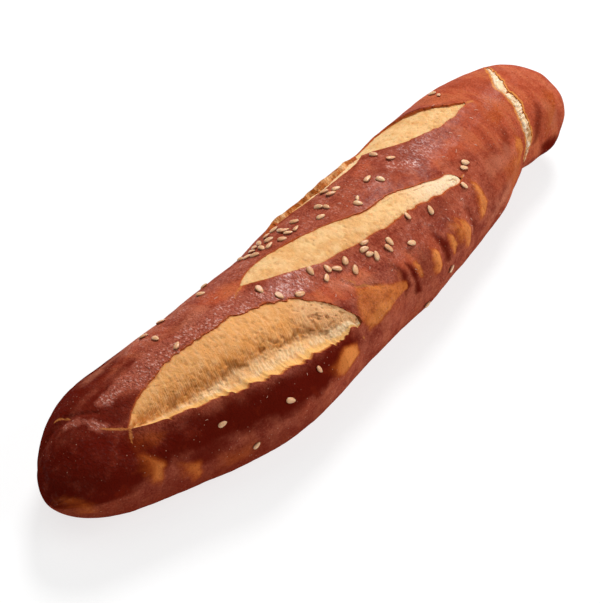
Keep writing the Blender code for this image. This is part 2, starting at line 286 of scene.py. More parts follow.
deepest = max(crumb_depth(SLASHES["near"], np.linspace(0, 1, 50), 25.0, 66.0))
print("the near slash is", round(float(deepest), 1), "mm deep")

# %% Strands and hollows
JUNCTION_AT = (28, 36, 42, 47, 53, 60, 66, 75, 85, 100)
JUNCTION = (0.84, 0.80, 0.76, 0.72, 0.66, 0.61, 0.59, 0.61, 0.65, 0.68)
LEAN = 0.35  # mm that a strand leans along the stick for each mm across the tear


def strands(x, share, width):
    """Combed fibres: narrow along the slash, long across it, leaning a little."""
    lean = x + LEAN * share * width
    fibre = field(np.stack([lean / 0.55, share * width / 1.8, 0 * x], -1), 1.0, 31)
    finer = field(np.stack([lean / 0.34, share * width / 1.0, 0 * x], -1), 1.0, 32)
    return 0.6 * fibre + 0.5 * finer


def hollows(x, share, width):
    """Pits along the line where the wall meets the torn strands, and loose ones at its far end."""
    line = np.interp(x, JUNCTION_AT, JUNCTION)
    spot = np.stack([(x + LEAN * share * width) / 2.9, share * width / 2.6, 0 * x], -1)
    uneven = smooth_step(field(spot, 1.0, 45) + 0.6 * field(spot * 2.6, 1.0, 46), -0.2, 0.5)
    beside = np.exp(-(((share - line + 0.02) * width / 2.1) ** 2))
    pits = (0.25 + 0.75 * uneven) * beside * smooth_step(x, 30, 44)
    loose = smooth_step(field(spot * 1.3, 1.0, 47) + 0.5 * field(spot * 3.1, 1.0, 48), 0.0, 0.7)
    loose = loose * np.exp(-(((share - 0.5) / 0.3) ** 2)) * smooth_step(x, 78, 90)
    return np.clip(pits * smooth_step(-x, -90, -80), 0, 1), loose * smooth_step(-x, -98.5, -95)


pit = hollows(np.linspace(30, 80, 400), np.full(400, 0.6), 25.0)[0]
print(f"{np.mean(pit > 0.5):.0%} of the line where wall and strands meet is pitted")

# %% [markdown]
# ## Folds, swellings and the split across the stick
#
# Dough keeps a memory of how it was rolled: a pinched fold at the blunt end, a slight neck
# where the far end has split right across, ribs along the side where the skin stretched. Each
# fold is a groove along a line on the loaf, and each swelling a soft bump at a point. We
# measure distances in space rather than on the flat chart, because the chart is squeezed to
# nothing at the tips.

# %% Folds and swellings
FOLDS = (
    # depth and width in mm, line as (along, round); a negative depth is a ridge
    (0.8, 1.2, ((20, -26), (18, -34), (15, -46), (10, -62), (7, -85))),
    (0.5, 1.3, ((6, -52), (3, -30), (1.5, 20), (3, 80), (6, 105))),
    (1.4, 4.0, ((195, 84), (195, 100), (196, 120), (197, 140))),
    (1.2, 3.5, ((213, -60), (212, -80), (212, -110))),
    (-1.2, 4.0, ((210, 108), (213, 118))),
    (-0.8, 5.0, ((186, 60), (178, 90))),
    (0.45, 0.7, ((20, -35), (22, -19), (25, -6))),
    (0.5, 1.1, ((113, 66), (119, 68), (124, 73))),
    (-0.35, 2.0, ((121, 44), (123, 56), (123, 70))),
    (0.35, 1.4, ((128, 42), (129, 56), (128, 70))),
    (-0.35, 2.0, ((134, 45), (135, 58), (135, 71))),
    (0.35, 1.5, ((140, 43), (140, 58), (139, 72))),
    (-0.35, 2.2, ((149, 46), (150, 62), (149, 75))),
    (0.3, 1.8, ((157, 46), (157, 62), (156, 76))),
    (-0.3, 2.4, ((166, 46), (165, 60), (161, 73))),
    (0.4, 0.6, ((104, 24), (106, 35), (108, 38), (110, 40), (112, 44))),
)
SWELLINGS = (
    # height and reach in mm, place
    (1.0, 9.0, (14, 40)),
    (0.9, 7.0, (88, 72)),
    (0.9, 8.0, (109, 56)),
    (0.8, 6.0, (135, 58)),
    (0.8, 6.0, (150, 62)),
    (-0.9, 8.0, (122, 75)),
    (-0.7, 7.0, (60, -30)),
    (0.9, 7.0, (146, -8)),
    (0.8, 8.0, (44, 108)),
    (-1.7, 13.0, (37, -56)),
    (-1.2, 7.0, (156, -56)),
    (0.9, 4.0, (222, 8)),
    (-0.6, 9.0, (98, -62)),
)
print(len(FOLDS), "folds and ridges,", len(SWELLINGS), "swellings and dimples")

# %% The line of the split
# degrees round, mm along at its middle, and half its width in mm
SPLIT_ROUND = (-62, -26, -8, 2, 9, 17, 27, 36, 52, 66, 76, 90)
SPLIT_AT = (212, 211.6, 207.6, 205.0, 203.8, 203.1, 202.3, 200.7, 199.0, 197.5, 196.0, 194)
SPLIT_HALF = (0.3, 0.6, 1.3, 1.9, 1.1, 1.25, 1.75, 1.55, 1.95, 1.45, 1.05, 0.2)
SPLIT_MIDDLE = 203.0
print("the split is up to", 2 * max(SPLIT_HALF), "mm wide")


# %% Distances to lines
def polyline(points, steps=40):
    """The same line of (along, round) addresses with many evenly spread points."""
    at, turn = zip(*points)
    fine = np.linspace(0, len(at) - 1, steps)
    return np.interp(fine, range(len(at)), at), np.interp(fine, range(len(at)), turn)


def gap_to(points, line):
    """Distance in mm from each point to a line of points."""
    best = np.full(len(points), 1e9)
    for start, end in zip(line[:-1], line[1:]):
        step = end - start
        along = np.clip(((points - start) @ step) / max(step @ step, 1e-9), 0, 1)
        best = np.minimum(best, np.linalg.norm(points - start - along[:, None] * step, axis=1))
    return best


def near_only(points, line, reach):
    """Indices of the points that can lie within reach of a line."""
    low, high = line.min(axis=0) - reach, line.max(axis=0) + reach
    return np.flatnonzero(((points > low) & (points < high)).all(axis=1))


fold_steps = np.diff(skin(*polyline(FOLDS[0][2])), axis=0)
print("first fold:", round(float(np.linalg.norm(fold_steps, axis=1).sum())), "mm long")


# %% Relief of the dough and edges of the split
def dough_relief(x, turn):
    """Height in mm that folds and swellings add."""
    place = skin(x, turn)
    lift = 0.35 * np.sin(x * 0.11 + 1.0) * np.sin(np.radians(turn) * 3 + x * 0.05)
    for depth, width, points in FOLDS:
        line = skin(*polyline(points, 24))
        close = near_only(place, line, 3 * width)
        lift[close] -= depth * np.exp(-((gap_to(place[close], line) / width) ** 2))
    for height, reach, (at, angle) in SWELLINGS:
        gap = np.linalg.norm(place - skin(at, angle), axis=-1)
        lift += height * np.exp(-((gap / reach) ** 2))
    return lift


def split_edges(turn):
    """Where along the stick the split starts and ends, for degrees round."""
    turn = np.asarray(turn, float)
    closed = (-180, *SPLIT_ROUND, 180)
    centre = through(turn, closed, (SPLIT_MIDDLE, *SPLIT_AT, SPLIT_MIDDLE))
    half = through(turn, closed, (0, *SPLIT_HALF, 0))
    across = np.stack([MM_PER_DEGREE * turn, 0 * turn, 0 * turn], -1)
    wave = 0.2 * field(across, 4.5, 61) + 0.3 * field(across, 1.6, 62)
    notch = 0.2 * field(across, 3.2, 63) + 0.35 * field(across, 1.2, 64)
    fade = smooth_step(half, 0.1, 0.9)
    return centre - half + wave * fade * 0.7, centre + half + notch * fade * 0.8


waist_relief = dough_relief(np.array([37.0]), np.array([-56.0]))
print("dough relief at the waist:", np.round(waist_relief, 2), "mm")

# %% [markdown]
# ## All the relief of the crust
#
# Now the pieces come together. Outside the slashes the crust has its rims, folds and a fine
# leathery unevenness. Inside a slash the crust mesh drops well below the crumb patch that
# will cover it, so each lip ends in a short steep wall, which reads as the broken edge of a
# real crust.
#
# Behind the crack the crust has torn loose and stands up as a thin ruffled flap, which shows
# against the outline of the loaf.

# %% Raised rims
INSIDE = 0.02  # mm past a lip from which the crust counts as cut away
FLAP_RIM = 1.5  # a rim in mm that is higher than this is the loose flap


def raise_rims(lift, name, slash, x, turn, width, margin):
    """Adds the rim beside each lip; the far rim of the crack is the ruffled flap."""
    flat = chart(x, turn)
    fade = smooth_step(width, 0.0, 5.0)
    for rim, side in zip(slash["rims"], ("far_lip", "near_lip")):
        line_x = np.linspace(slash["at"][0], slash["at"][-1], 90)
        line = chart(line_x, lip(slash, side, line_x))
        reach = 2.2 if rim > FLAP_RIM else 2.8
        close = np.flatnonzero(np.abs(x - line_x.mean()) < np.ptp(line_x) / 2 + 9)
        bump = rim * np.exp(-((gap_to(flat[close], line) / reach) ** 2))
        if name == "crack" and side == "far_lip":
            behind = turn[close] < lip(slash, "far_lip", x[close]) + 0.5
            ruffle = 0.75 + 0.5 * field(flat[close] * (1, 0.3, 1), 5.0, 14)
            run = (x[close] - line_x[0]) / np.ptp(line_x)
            bump = bump * behind * ruffle * np.sin(np.pi * np.clip(run, 0, 1)) ** 0.5
        else:
            bump = bump * (0.3 + 0.7 * fade[close])
        lift[close] += np.where(margin[close] > INSIDE, 0, bump)


print("rims in mm:", {name: slash["rims"] for name, slash in SLASHES.items()})

# %% Crust height
BELOW_CRUMB, BELOW_SPLIT = 1.8, 2.0  # mm that the crust mesh drops under the crumb


def crust_relief(x, turn):
    """Height in mm of every crust point, and how deep inside a slash it lies (below 0: outside)."""
    space = skin(x, turn)
    lift = dough_relief(x, turn)
    lift += (
        0.22 * field(space, 11.0, 1) + 0.09 * field(space, 3.2, 2)
        + 0.035 * field(space, 1.3, 3)
    )
    inside = np.full(x.shape, FAR_OUT)
    drop = np.zeros(x.shape)
    for name, slash in SLASHES.items():
        share, width, margin = place_in(slash, x, turn)
        raise_rims(lift, name, slash, x, turn, width, margin)
        under = crumb_depth(slash, share, width, x) + BELOW_CRUMB
        drop = np.where(margin > INSIDE, under, drop)
        inside = np.maximum(inside, margin)
    left, right = split_edges(turn)
    in_split = np.minimum(x - left, right - x)
    rim = 0.25 * np.exp(-((np.maximum(-in_split, 0) / 2.2) ** 2))
    lift += np.where((turn > -66) & (turn < 100), rim, 0)
    drop = np.where(in_split > INSIDE, BELOW_SPLIT, drop)
    inside = np.maximum(inside, np.where(np.abs(turn - 17) < 80, in_split, FAR_OUT))
    lift = np.where(drop > 0, 0.5 * lift - drop, lift)
    underside = np.clip((np.abs(turn) - 120) / 40, 0, 1)
    return lift * (1 - underside) * np.clip(rounding(x) * 2.2, 0.15, 1), inside


for place in ((66.0, 60.0), (66.0, 15.0)):
    rise, inside = crust_relief(*(np.array([value]) for value in place))
    print("at", place, "the crust mesh stands at", np.round(rise[0], 2), "mm")

# %% [markdown]
# ## The crust mesh
#
# The skin is a grid of rows along the stick and columns round it. Two things make it follow
# the real lines with no wasted points. The columns wind round at the same slant as the
# slashes, and the rows bend to run beside the split. Then, in every row, the point nearest to
# a lip is moved exactly onto it. That keeps each broken edge crisp with cells of about half a
# millimetre.

# %% Rows, columns and lips
CELL = 0.54  # mm between rows, and between the columns near the slashes
SLANT = 0.6  # degrees that a column winds round for each mm along
ROW_BEND = 21.0  # mm on either side of the split over which the rows straighten out
CUT_SIDE = (-86.0, 76.0)  # degrees round that get the fine columns


def move_onto(value, other, edge, first, last, reach):
    """In each row, moves the point nearest to an edge onto it."""
    goal = edge(other)
    gap = np.where((other > first) & (other < last), np.abs(value - goal), 1e3)
    rows = np.arange(len(value))
    best = gap.argmin(axis=1)
    close = gap[rows, best] < reach
    value[rows[close], best[close]] = goal[rows[close], best[close]]


def skin_grid():
    """Addresses of the grid: mm along and degrees round, one row of points per row."""
    ends = np.array([0.1, 0.35, 0.75, 1.3])
    rows = np.concatenate([ends, np.arange(1.95, LENGTH - 1.6, CELL), LENGTH - ends[::-1]])
    cut_columns = np.arange(*CUT_SIDE, CELL / MM_PER_DEGREE)
    plain = np.linspace(cut_columns[-1], 360 + cut_columns[0], 60)[1:-1]
    columns = np.concatenate([cut_columns, plain])
    x, turn = np.meshgrid(rows, columns, indexing="ij")
    turn = (turn + SLANT * (x - LENGTH / 2) + 180) % 360 - 180
    closed = (-180, *SPLIT_ROUND, 180)
    bend = through(turn, closed, (SPLIT_MIDDLE, *SPLIT_AT, SPLIT_MIDDLE)) - SPLIT_MIDDLE
    x = x + bend * np.clip(1 - np.abs(x - SPLIT_MIDDLE) / ROW_BEND, 0, 1)
    for slash in SLASHES.values():
        for side in ("far_lip", "near_lip"):
            edge = lambda along, slash=slash, side=side: lip(slash, side, along)
            move_onto(turn, x, edge, slash["at"][0], slash["at"][-1], 1.0)
    for side in (0, 1):
        edge = lambda angle, side=side: split_edges(angle)[side]
        across, along = turn.T.copy(), x.T.copy()
        move_onto(along, across, edge, SPLIT_ROUND[0], SPLIT_ROUND[-1], 0.45)
        x = along.T.copy()
    return x, turn


x_grid, turn_grid = skin_grid()
row_count, column_count = x_grid.shape
print(row_count, "rows of", column_count, "points")


# %% From points to an object
def put_mesh(name, points, faces, values=None):
    """Makes an object of points in loaf millimetres, with a named number on each point."""
    mesh = bpy.data.meshes.new(name)
    low, high = np.array(solid_box[0]), np.array(solid_box[1])
    mesh.from_pydata(np.clip(in_row_frame(points), low, high).tolist(), [], faces)
    for label, numbers in (values or {}).items():
        layer = mesh.attributes.new(label, "FLOAT", "POINT")
        layer.data.foreach_set("value", np.asarray(numbers, np.float32))
    mesh.shade_smooth()
    mesh.set_sharp_from_angle(angle=math.radians(50))
    thing = bpy.data.objects.new(name, mesh)
    bpy.context.scene.collection.objects.link(thing)
    return thing


print("points are kept inside", np.round(np.subtract(*solid_box[::-1]) / MM, 1), "mm")

# %% [markdown]
# ## Where the crust is darker or paler
#
# Lye crust browns unevenly. The blunt end stood in the hottest part of the oven and went
# nearly black-red; the other end is more rust-coloured. Along the side the skin stretched
# late in baking and shows amber ribs and one big amber patch. Right beside each lip the crust
# thins to a toasted orange line. These are broad shapes that no noise would put in the right
# place, so we store them as numbers on the points of the mesh, and let the material add its
# fine noise on top. Two kinds of band are painted light rather than browning: a mauve sheen on
# the crown and on the creased crust, and a paler sheen and reflection along the lower sides, the
# edge of the crown and the far knob.

# %% Amber patches
STRETCHED = (
    # softness in mm, strength, corners as (along, round)
    (3.0, 0.85, ((24, 45), (26.4, 50), (27, 58), (26, 68), (24, 75), (22, 68), (22, 56))),
    (3.0, 0.78, ((31.5, 68), (35.5, 75), (36, 88), (33.5, 94), (31, 82))),
    (4.0, 0.35, ((40, 80), (50, 78), (54, 88), (48, 98), (41, 96))),
    (2.4, 1.15, ((90, 62), (95, 69), (95, 78), (87, 82), (83, 76), (85, 67))),
    (1.0, 0.72, (
        (106, 35), (111, 41), (122, 58), (121, 65), (108, 67), (101, 68), (100, 55), (102, 43),
    )),
    (2.2, 1.10, ((102, 57), (107, 52), (114, 57), (118, 62), (108, 67), (101, 68))),
    (0.9, 1.00, ((127.2, 51), (128.8, 52), (129.2, 62), (128.6, 69), (127.4, 66), (127.1, 58))),
    (1.8, 1.25, (
        (135, 51), (136.8, 56), (137.4, 64), (136.8, 71), (135, 75), (133.6, 74), (134, 60),
    )),
    (0.9, 1.10, ((144.2, 54), (146, 58), (146, 68), (143.8, 74), (143.4, 66))),
    (1.8, 1.25, (
        (151, 52), (153.4, 58), (154.6, 68), (153.6, 78), (152, 82), (150, 77), (150.2, 65),
    )),
    (2.0, 1.10, ((166, 42), (167.5, 52), (167.5, 66), (164, 75), (161.5, 71), (163.6, 56))),
    (3.6, 0.55, ((1.5, -20), (4, 20), (6, 60), (9, 88), (4, 100), (2, 70), (1, 20))),
    (2.5, 0.50, ((180, 58), (188, 56), (192, 74), (188, 92), (180, 88))),
    (2.6, 0.50, ((216, 28), (219, 40), (216, 58), (211, 73), (207, 84), (207, 72), (211, 50))),
    (1.4, 0.75, ((193, 46), (195, 56), (194, 68), (190, 75), (187, 72), (190, 58))),
    (2.5, 0.40, ((197, -1), (197, 16), (195, 28), (189, 30), (188, 14), (191, 2))),
    (3.0, 0.42, ((25, 24), (30, 26), (33, 38), (28, 42), (24, 34))),
    (1.8, 0.70, ((146.5, 50), (150, 50), (151, 60), (149, 72), (146.5, 66))),
)
print(len(STRETCHED), "amber patches")

# %% Scorched patches
SCORCHED = (
    (7.0, 1.00, (
        (-14, -130), (6, -130), (14, -26), (24, 5), (33, 40), (31, 60), (14, 78), (-14, 78),
    )),
    (6.0, 0.90, ((4, -90), (12, -26), (30, -18), (44, -30), (50, -60), (40, -90))),
    (2.5, 0.80, (
        (12, -32), (24, -26), (30, -24), (36, -18), (33, -6),
        (37, 3), (30, 14), (20, 10), (12, -10),
    )),
    (5.0, 0.80, ((29, 60), (40, 54), (52, 60), (46, 76), (38, 88), (32, 80))),
    (9.0, 0.50, ((-14, 60), (34, 66), (80, 78), (76, 130), (-14, 130))),
    (2.2, 0.70, ((92, 34), (98, 36), (102, 44), (97, 46), (93, 40))),
    (1.6, 0.80, (
        (119, 37), (121.5, 42), (123.3, 50), (123, 64), (120, 72), (119.5, 62), (120.5, 50),
    )),
    (1.5, 0.95, ((124.5, 46), (126.3, 52), (127, 60), (126.4, 80), (124.3, 78), (124.6, 60))),
    (1.8, 0.85, ((139, 44), (141.5, 48), (143, 60), (141.5, 76), (139.3, 73), (139, 60))),
    (1.2, 0.40, ((147, 56), (148.2, 60), (147.6, 74), (146.4, 76), (146.8, 64))),
    (1.8, 0.65, ((156, 48), (159, 52), (158, 72), (155.8, 78), (156.4, 62))),
    (4.0, 0.60, ((142, -14), (160, -16), (170, -8), (160, 4), (146, 0))),
    (3.5, 0.50, ((147, 24), (154, 33), (153, 42), (147, 47), (141, 42), (141, 31))),
    (3.0, 0.90, ((204, 88), (212, 92), (216, 112), (212, 135), (203, 128))),
    (2.0, 0.60, ((209, 30), (210, 45), (206, 62), (201, 78), (199, 76), (202, 58), (206, 44))),
    (2.2, 0.55, ((191, 26), (192, 39), (190, 51), (185, 59), (183, 48), (188, 38))),
    (4.0, 0.45, ((184, 26), (186, 44), (180, 58), (173, 52), (177, 31))),
    (5.0, 0.35, ((150, -30), (166, -40), (176, -20), (166, -4), (154, -14))),
)
print(len(SCORCHED), "scorched patches")

# %% Rusty patches
RUSTY = (
    (2.5, 0.90, ((24, -34), (34, -26), (40, -26), (50, -34), (46, -40), (30, -42))),
    (2.0, 0.70, ((46, -36), (56, -34), (58, -42), (50, -46))),
    (3.0, 0.90, ((70, -40), (80, -36), (86, -22), (80, -12), (72, -20))),
    (1.2, 1.00, (
        (93, 16), (104, 19), (113, 28), (114, 36), (109, 35), (104, 40), (99, 34), (94, 26),
    )),
    (3.0, 0.80, ((163, 2), (173, 4), (178, 18), (168, 22), (160, 12))),
    (2.5, 0.80, ((140, -30), (150, -28), (150, -20), (140, -18))),
    (9.0, 0.75, (
        (170, -60), (184, -40), (176, 20), (172, 60),
        (180, 100), (226, 100), (226, -90), (190, -90),
    )),
    (2.5, 0.60, ((118, 38), (132, 42), (130, 54), (119, 52))),
)
print(len(RUSTY), "rusty patches")

# %% Bands
SCORCHED_BANDS = (
    # softness, strength, half width in mm, line as (along, round)
    (5.0, 1.00, 6.5, ((14, 42), (34, 49), (48, 54), (62, 58), (78, 64), (90, 64))),
    (1.5, 0.60, 2.0, ((28, -20), (36, -22), (44, -24))),
    (1.0, 0.60, 0.7, ((126, 4), (134, 9), (140, 12))),
    (0.8, 0.80, 0.5, (
        (151, -49), (158, -55), (164, -56), (171, -52), (177, -39.5), (183, -22.5), (189, -8),
    )),
)
# creased crust, whose colour also carries a painted mauve sheen
LEATHER_AND_SHEEN_BANDS = (
    (1.5, 1.00, 4.2, ((41, -7), (46, -10), (56, -15), (66, -14), (76, -8))),
    (1.5, 0.90, 3.0, ((78, -9), (84, -3), (90, 2), (95, 7))),
    (1.0, 1.60, 2.6, ((38, -10), (41, -5), (44, -9))),
    (1.4, 1.00, 2.0, ((28, -9), (34, -9))),
    (1.4, 0.70, 1.8, ((18, -24), (21, -10), (23, 4))),
    (1.2, 1.00, 1.8, ((151, -8), (154, -3), (156, 1))),
    (3.0, 0.40, 5.0, ((95, 6), (106, 20), (122, 32), (136, 36))),
    (4.0, 0.50, 5.0, ((50, -36), (72, -42), (92, -34))),
    (4.0, 0.45, 7.0, ((112, -26), (130, -20), (150, -16), (166, -6))),
    (3.0, 0.35, 4.0, ((134, 40), (150, 44), (166, 46))),
)
# paler bands of painted sheen and reflection along the lower sides, the crown's edge and the far
# knob
PALE_SHEEN_BANDS = (
    (3.0, 0.80, 2.6, ((170, 84), (178, 78), (188, 70))),
    (4.0, 0.60, 4.0, ((176, 48), (183, 55), (190, 58))),
    (3.0, 0.60, 2.5, ((212, 48), (214, 60), (211, 72))),
    (4.0, 0.45, 3.5, ((212, -24), (217, 4), (219, 30))),
    (3.0, 0.60, 3.0, ((102, 24), (106, 30), (112, 36))),
    (3.0, 0.50, 3.0, ((54, -30), (62, -24), (70, -24))),
    (4.0, 0.55, 3.0, ((34, -46), (46, -50), (58, -50), (70, -50))),
    (0.7, 0.90, 0.2, ((152, 52), (154, 60), (156, 70), (155.5, 74))),
)
print(len(SCORCHED_BANDS + LEATHER_AND_SHEEN_BANDS + PALE_SHEEN_BANDS), "bands")

# %% Small tears
TEARS = (
    ((18, -46), (19, -41), (20, -34), (20.5, -26)),
    ((21.5, 2), (23, 8), (24.5, 13), (26.6, 19)),
    ((24.2, 28), (25.3, 23), (26.8, 19)),
    ((78, -14), (81, -17), (84, -18)),
    ((190, -3), (193, 0)),
    ((163, 33), (166, 32)),
    ((98, 68), (99, 71)),
    ((105.8, 27), (106.6, 31), (105.8, 35), (108.4, 36.5), (110, 41), (111, 46)),
    ((200, 52), (198.5, 62), (197.5, 74), (196, 84)),
)
print(len(TEARS), "small tears")


# %% Painting a patch
def panel(flat, corners, softness, warp, crisp):
    """1 inside a patch with straight sides, 0 outside; crisp sharpens its far and lower edges."""
    corners = chart(*np.array(corners, float).T)[:, :2]
    low, high = corners.min(axis=0) - 4 * softness - 3, corners.max(axis=0) + 4 * softness + 3
    close = np.flatnonzero(((flat[:, :2] > low) & (flat[:, :2] < high)).all(axis=1))
    place, share = flat[close, :2], np.ones(len(close))
    gap, within = np.full(len(close), 1e9), np.zeros(len(close), bool)
    for start, end in zip(corners, np.roll(corners, -1, axis=0)):
        step = end - start
        inward = np.array([-step[1], step[0]]) / np.linalg.norm(step)
        inward = inward * np.sign(inward @ (corners.mean(axis=0) - start))
        soft = softness * crisp ** (inward @ (0.8, 0.6))
        edge = (place - start) @ inward + warp[close] * (0.4 + 0.4 * soft)
        share = np.minimum(share, smooth_step(edge, -soft, soft))
        nearest = start + np.clip((place - start) @ step / (step @ step), 0, 1)[:, None] * step
        gap = np.minimum(gap, np.linalg.norm(place - nearest, axis=1))
        crosses = (start[1] > place[:, 1]) != (end[1] > place[:, 1])
        side = start[0] + step[0] * (place[:, 1] - start[1]) / (step[1] + 1e-9)
        within ^= crosses & (place[:, 0] < side)
    if crisp == 1:
        edge = np.where(within, gap, -gap) + warp[close] * (0.4 + 0.4 * softness)
        share = smooth_step(edge, -softness, softness)
    amount = np.zeros(len(flat))
    amount[close] = share
    return amount


def painted(flat, patches, warp, crisp=1.0):
    """The strongest of the patches at each point, with ragged soft edges."""
    amount = np.zeros(len(flat))
    for softness, strength, corners in patches:
        amount = np.maximum(amount, strength * panel(flat, corners, softness, warp, crisp))
    return amount


spot = chart(np.array([50.0, 60.0, 70.0]), np.array([54.0, 50.0, 0.0]))
print("scorched patches at three places:", np.round(painted(spot, SCORCHED, np.zeros(3)), 2))


# %% Painting a band
def banded(flat, bands, warp):
    """The strongest of the bands that run beside a line."""
    amount = np.zeros(len(flat))
    for softness, strength, half, line in bands:
        edge = half - gap_to(flat, chart(*np.array(line, float).T)) + warp * (0.4 + 0.4 * softness)
        amount = np.maximum(amount, strength * smooth_step(edge, -softness, softness))
    return amount


print("scorched bands at them:", np.round(banded(spot, SCORCHED_BANDS, np.zeros(3)), 2))


# %% Painting the tears
def tear_lines(x, flat):
    """How near each point is to one of the small tears, 0 to 1, thinner at its ends."""
    tear = np.zeros(x.shape)
    for points in TEARS:
        line = chart(*polyline(points, 12))
        close = np.flatnonzero(np.abs(x - np.mean(line[:, 0])) < np.ptp(line[:, 0]) / 2 + 3)
        gap = gap_to(flat[close], line)
        run = np.clip((x[close] - line[0, 0]) / (line[-1, 0] - line[0, 0]), 0.05, 0.95)
        thick = 0.62 * np.sin(np.pi * run) ** 0.5 * (0.9 + 0.35 * field(flat[close], 1.4, 77))
        tear[close] = np.maximum(tear[close], np.exp(-((gap / thick) ** 2)))
    return tear


print("tears at them:", np.round(tear_lines(spot[:, 0], spot), 2))


# %% All the browning
def browning(x, turn, inside):
    """The numbers that the crust's material reads."""
    flat = chart(x, turn)
    warp = 0.9 * field(flat, 3.4, 71) + 0.5 * field(flat, 1.3, 72)
    out = np.maximum(-inside, 0)
    toast = np.maximum(np.exp(-((out / 0.3) ** 2)), 0.3 * np.exp(-((out / 1.2) ** 2)))
    left, right = split_edges(turn)
    beside = np.maximum(left - x, x - right) + 0.3 * field(flat, 1.6, 74)
    blister = np.exp(-((np.maximum(beside, 0) / 0.8) ** 2)) * smooth_step(right - left, 0.3, 1.4)
    share, width, margin = place_in(SLASHES["near"], x, turn)
    toast *= 1 - 0.85 * smooth_step(share, 0.8, 1.0) * (margin > -4) * (x < 100)
    flap = smooth_step(x, 108, 114) * smooth_step(-x, -152, -146)
    behind = lip(SLASHES["crack"], "far_lip", x) - turn
    flap = flap * smooth_step(behind, -3, 0) * smooth_step(-behind, -16, -8)
    scorched = painted(flat, SCORCHED, 0.5 * warp)
    scorched = np.maximum(scorched, banded(flat, SCORCHED_BANDS, 0.6 * warp))
    # a faint painted sheen over the crown, where the top faces the light
    sheen_on_top = 0.2 * smooth_step(-np.abs(turn), -70, -40)
    return {
        "amber": painted(flat, STRETCHED, 0.5 * warp, 1.8),
        "flap": flap,
        "blister": blister,
        "dark": scorched,
        "rust": painted(flat, RUSTY, warp),
        "leather": np.maximum(banded(flat, LEATHER_AND_SHEEN_BANDS, warp), sheen_on_top),
        # painted sheen and reflection
        "pale": banded(flat, PALE_SHEEN_BANDS, warp),
        "toast": toast,
        "tear": tear_lines(x, flat),
        "flesh": smooth_step(inside, 0.0, 0.2) * (1 - flap),
    }


beside_slash = browning(np.array([66.0]), np.array([60.0]), np.array([-1.0]))
print("beside the near slash:", {k: round(float(v[0]), 2) for k, v in beside_slash.items()})

# %% Points and numbers of the crust
x_all, turn_all = x_grid.ravel(), turn_grid.ravel()
height, inside_all = crust_relief(x_all, turn_all)
crust_points = np.concatenate([skin(x_all, turn_all, height), skin(np.array([0.0, LENGTH]), 0.0)])
crust_values = {
    label: np.append(numbers, [0.0, 0.0])
    for label, numbers in browning(x_all, turn_all, inside_all).items()
}
print({label: round(float(numbers.mean()), 3) for label, numbers in crust_values.items()})

# %% Faces of the crust
# Each cell is cut along the diagonal whose ends differ least in height, so no lip looks sawn.
row, column = np.meshgrid(np.arange(row_count - 1), np.arange(column_count), indexing="ij")
beside = (column + 1) % column_count
quads = np.stack([
    row * column_count + column, row * column_count + beside,
    (row + 1) * column_count + beside, (row + 1) * column_count + column,
], axis=-1).reshape(-1, 4)
fall, other_fall = (
    np.abs(np.subtract(*height[quads[:, ends]].T)) for ends in ([0, 2], [1, 3])
)
level = fall < other_fall
triangles = np.concatenate([
    quads[level][:, [0, 1, 2]], quads[level][:, [0, 2, 3]],
    quads[~level][:, [0, 1, 3]], quads[~level][:, [1, 2, 3]],
])
around = np.arange(column_count)
after = (around + 1) % column_count
tail = (row_count - 1) * column_count
near_cap = np.stack([after, around, np.full(column_count, len(x_all))], axis=-1)
far_cap = np.stack([tail + around, tail + after, np.full(column_count, len(x_all) + 1)], axis=-1)
crust_faces = np.concatenate([triangles, near_cap, far_cap])

crust = put_mesh("crust", crust_points, crust_faces.tolist(), crust_values)
print("crust", len(crust_points), "points,", len(crust_faces), "triangles")

# %% [markdown]
# ## The crumb patches
#
# Each slash gets its own patch, finer than the crust: cells of 0.3 mm, so that fibres and
# pores are real relief. The patch reaches a little under both lips and dives there, so the
# crust always covers its border. Every patch also carries numbers for its material: how torn
# it is, where painted shade darkens its hollows and nicks, where pale strands lie, and how near
# it is to the toasted lip.

# %% Closing a patch
FINE = 0.3  # mm between points
TUCK = 0.7  # mm that a patch reaches under each lip


def closed_patch(name, points, values):
    """A grid of points with a skirt and a base, so that the patch is a solid slab."""
    rows, columns = points.shape[:2]
    index = np.arange(rows * columns).reshape(rows, columns)
    top = np.stack([index[:-1, :-1], index[1:, :-1], index[1:, 1:], index[:-1, 1:]], -1)
    rim = np.concatenate([index[0, :], index[1:, -1], index[-1, -2::-1], index[-2:0:-1, 0]])
    flat = points.reshape(-1, 3)
    spine = flat[rim].mean(axis=0)
    under = flat[rim] + (spine - flat[rim]) * 0.03 - (0, 0, 1.2)
    base = len(flat) + np.arange(len(rim))
    nxt = np.roll(np.arange(len(rim)), -1)
    sides = np.stack([rim, rim[nxt], base[nxt], base], -1)
    faces = top.reshape(-1, 4)[:, ::-1].tolist() + sides.tolist() + [base.tolist()]
    values = {k: np.concatenate([v.ravel(), v.ravel()[rim]]) for k, v in values.items()}
    made = put_mesh(name, np.concatenate([flat, under]), faces, values)
    bpy.context.view_layer.objects.active = made
    made.select_set(True)
    bpy.ops.object.mode_set(mode="EDIT")
    bpy.ops.mesh.select_all(action="SELECT")
    bpy.ops.mesh.normals_make_consistent(inside=False)
    bpy.ops.object.mode_set(mode="OBJECT")
    made.select_set(False)
    return made


print("crumb cells are", FINE, "mm, against", CELL, "mm for the crust")

# %% Nicks and fresh ends
CRUMB_NICKS = (
    # little tears in the middle slash, darkened with painted shade, as (along, round)
    ((136, 4.5), (138, 6), (140, 6.5)),
    ((142, 8.5), (144, 11), (146, 12)),
    ((147, 13.5), (149, 15.5), (151, 16.5)),
    ((159, 27), (161, 28.5), (161.6, 31.5), (160, 33)),
)
# Two slashes are whiter towards their far ends: how much, and between which mm along it grows.
FRESH_END = {"crack": (0.85, 122, 131), "middle": (0.7, 136, 156)}
print(len(CRUMB_NICKS), "nicks in the middle slash; fresh ends:", list(FRESH_END))


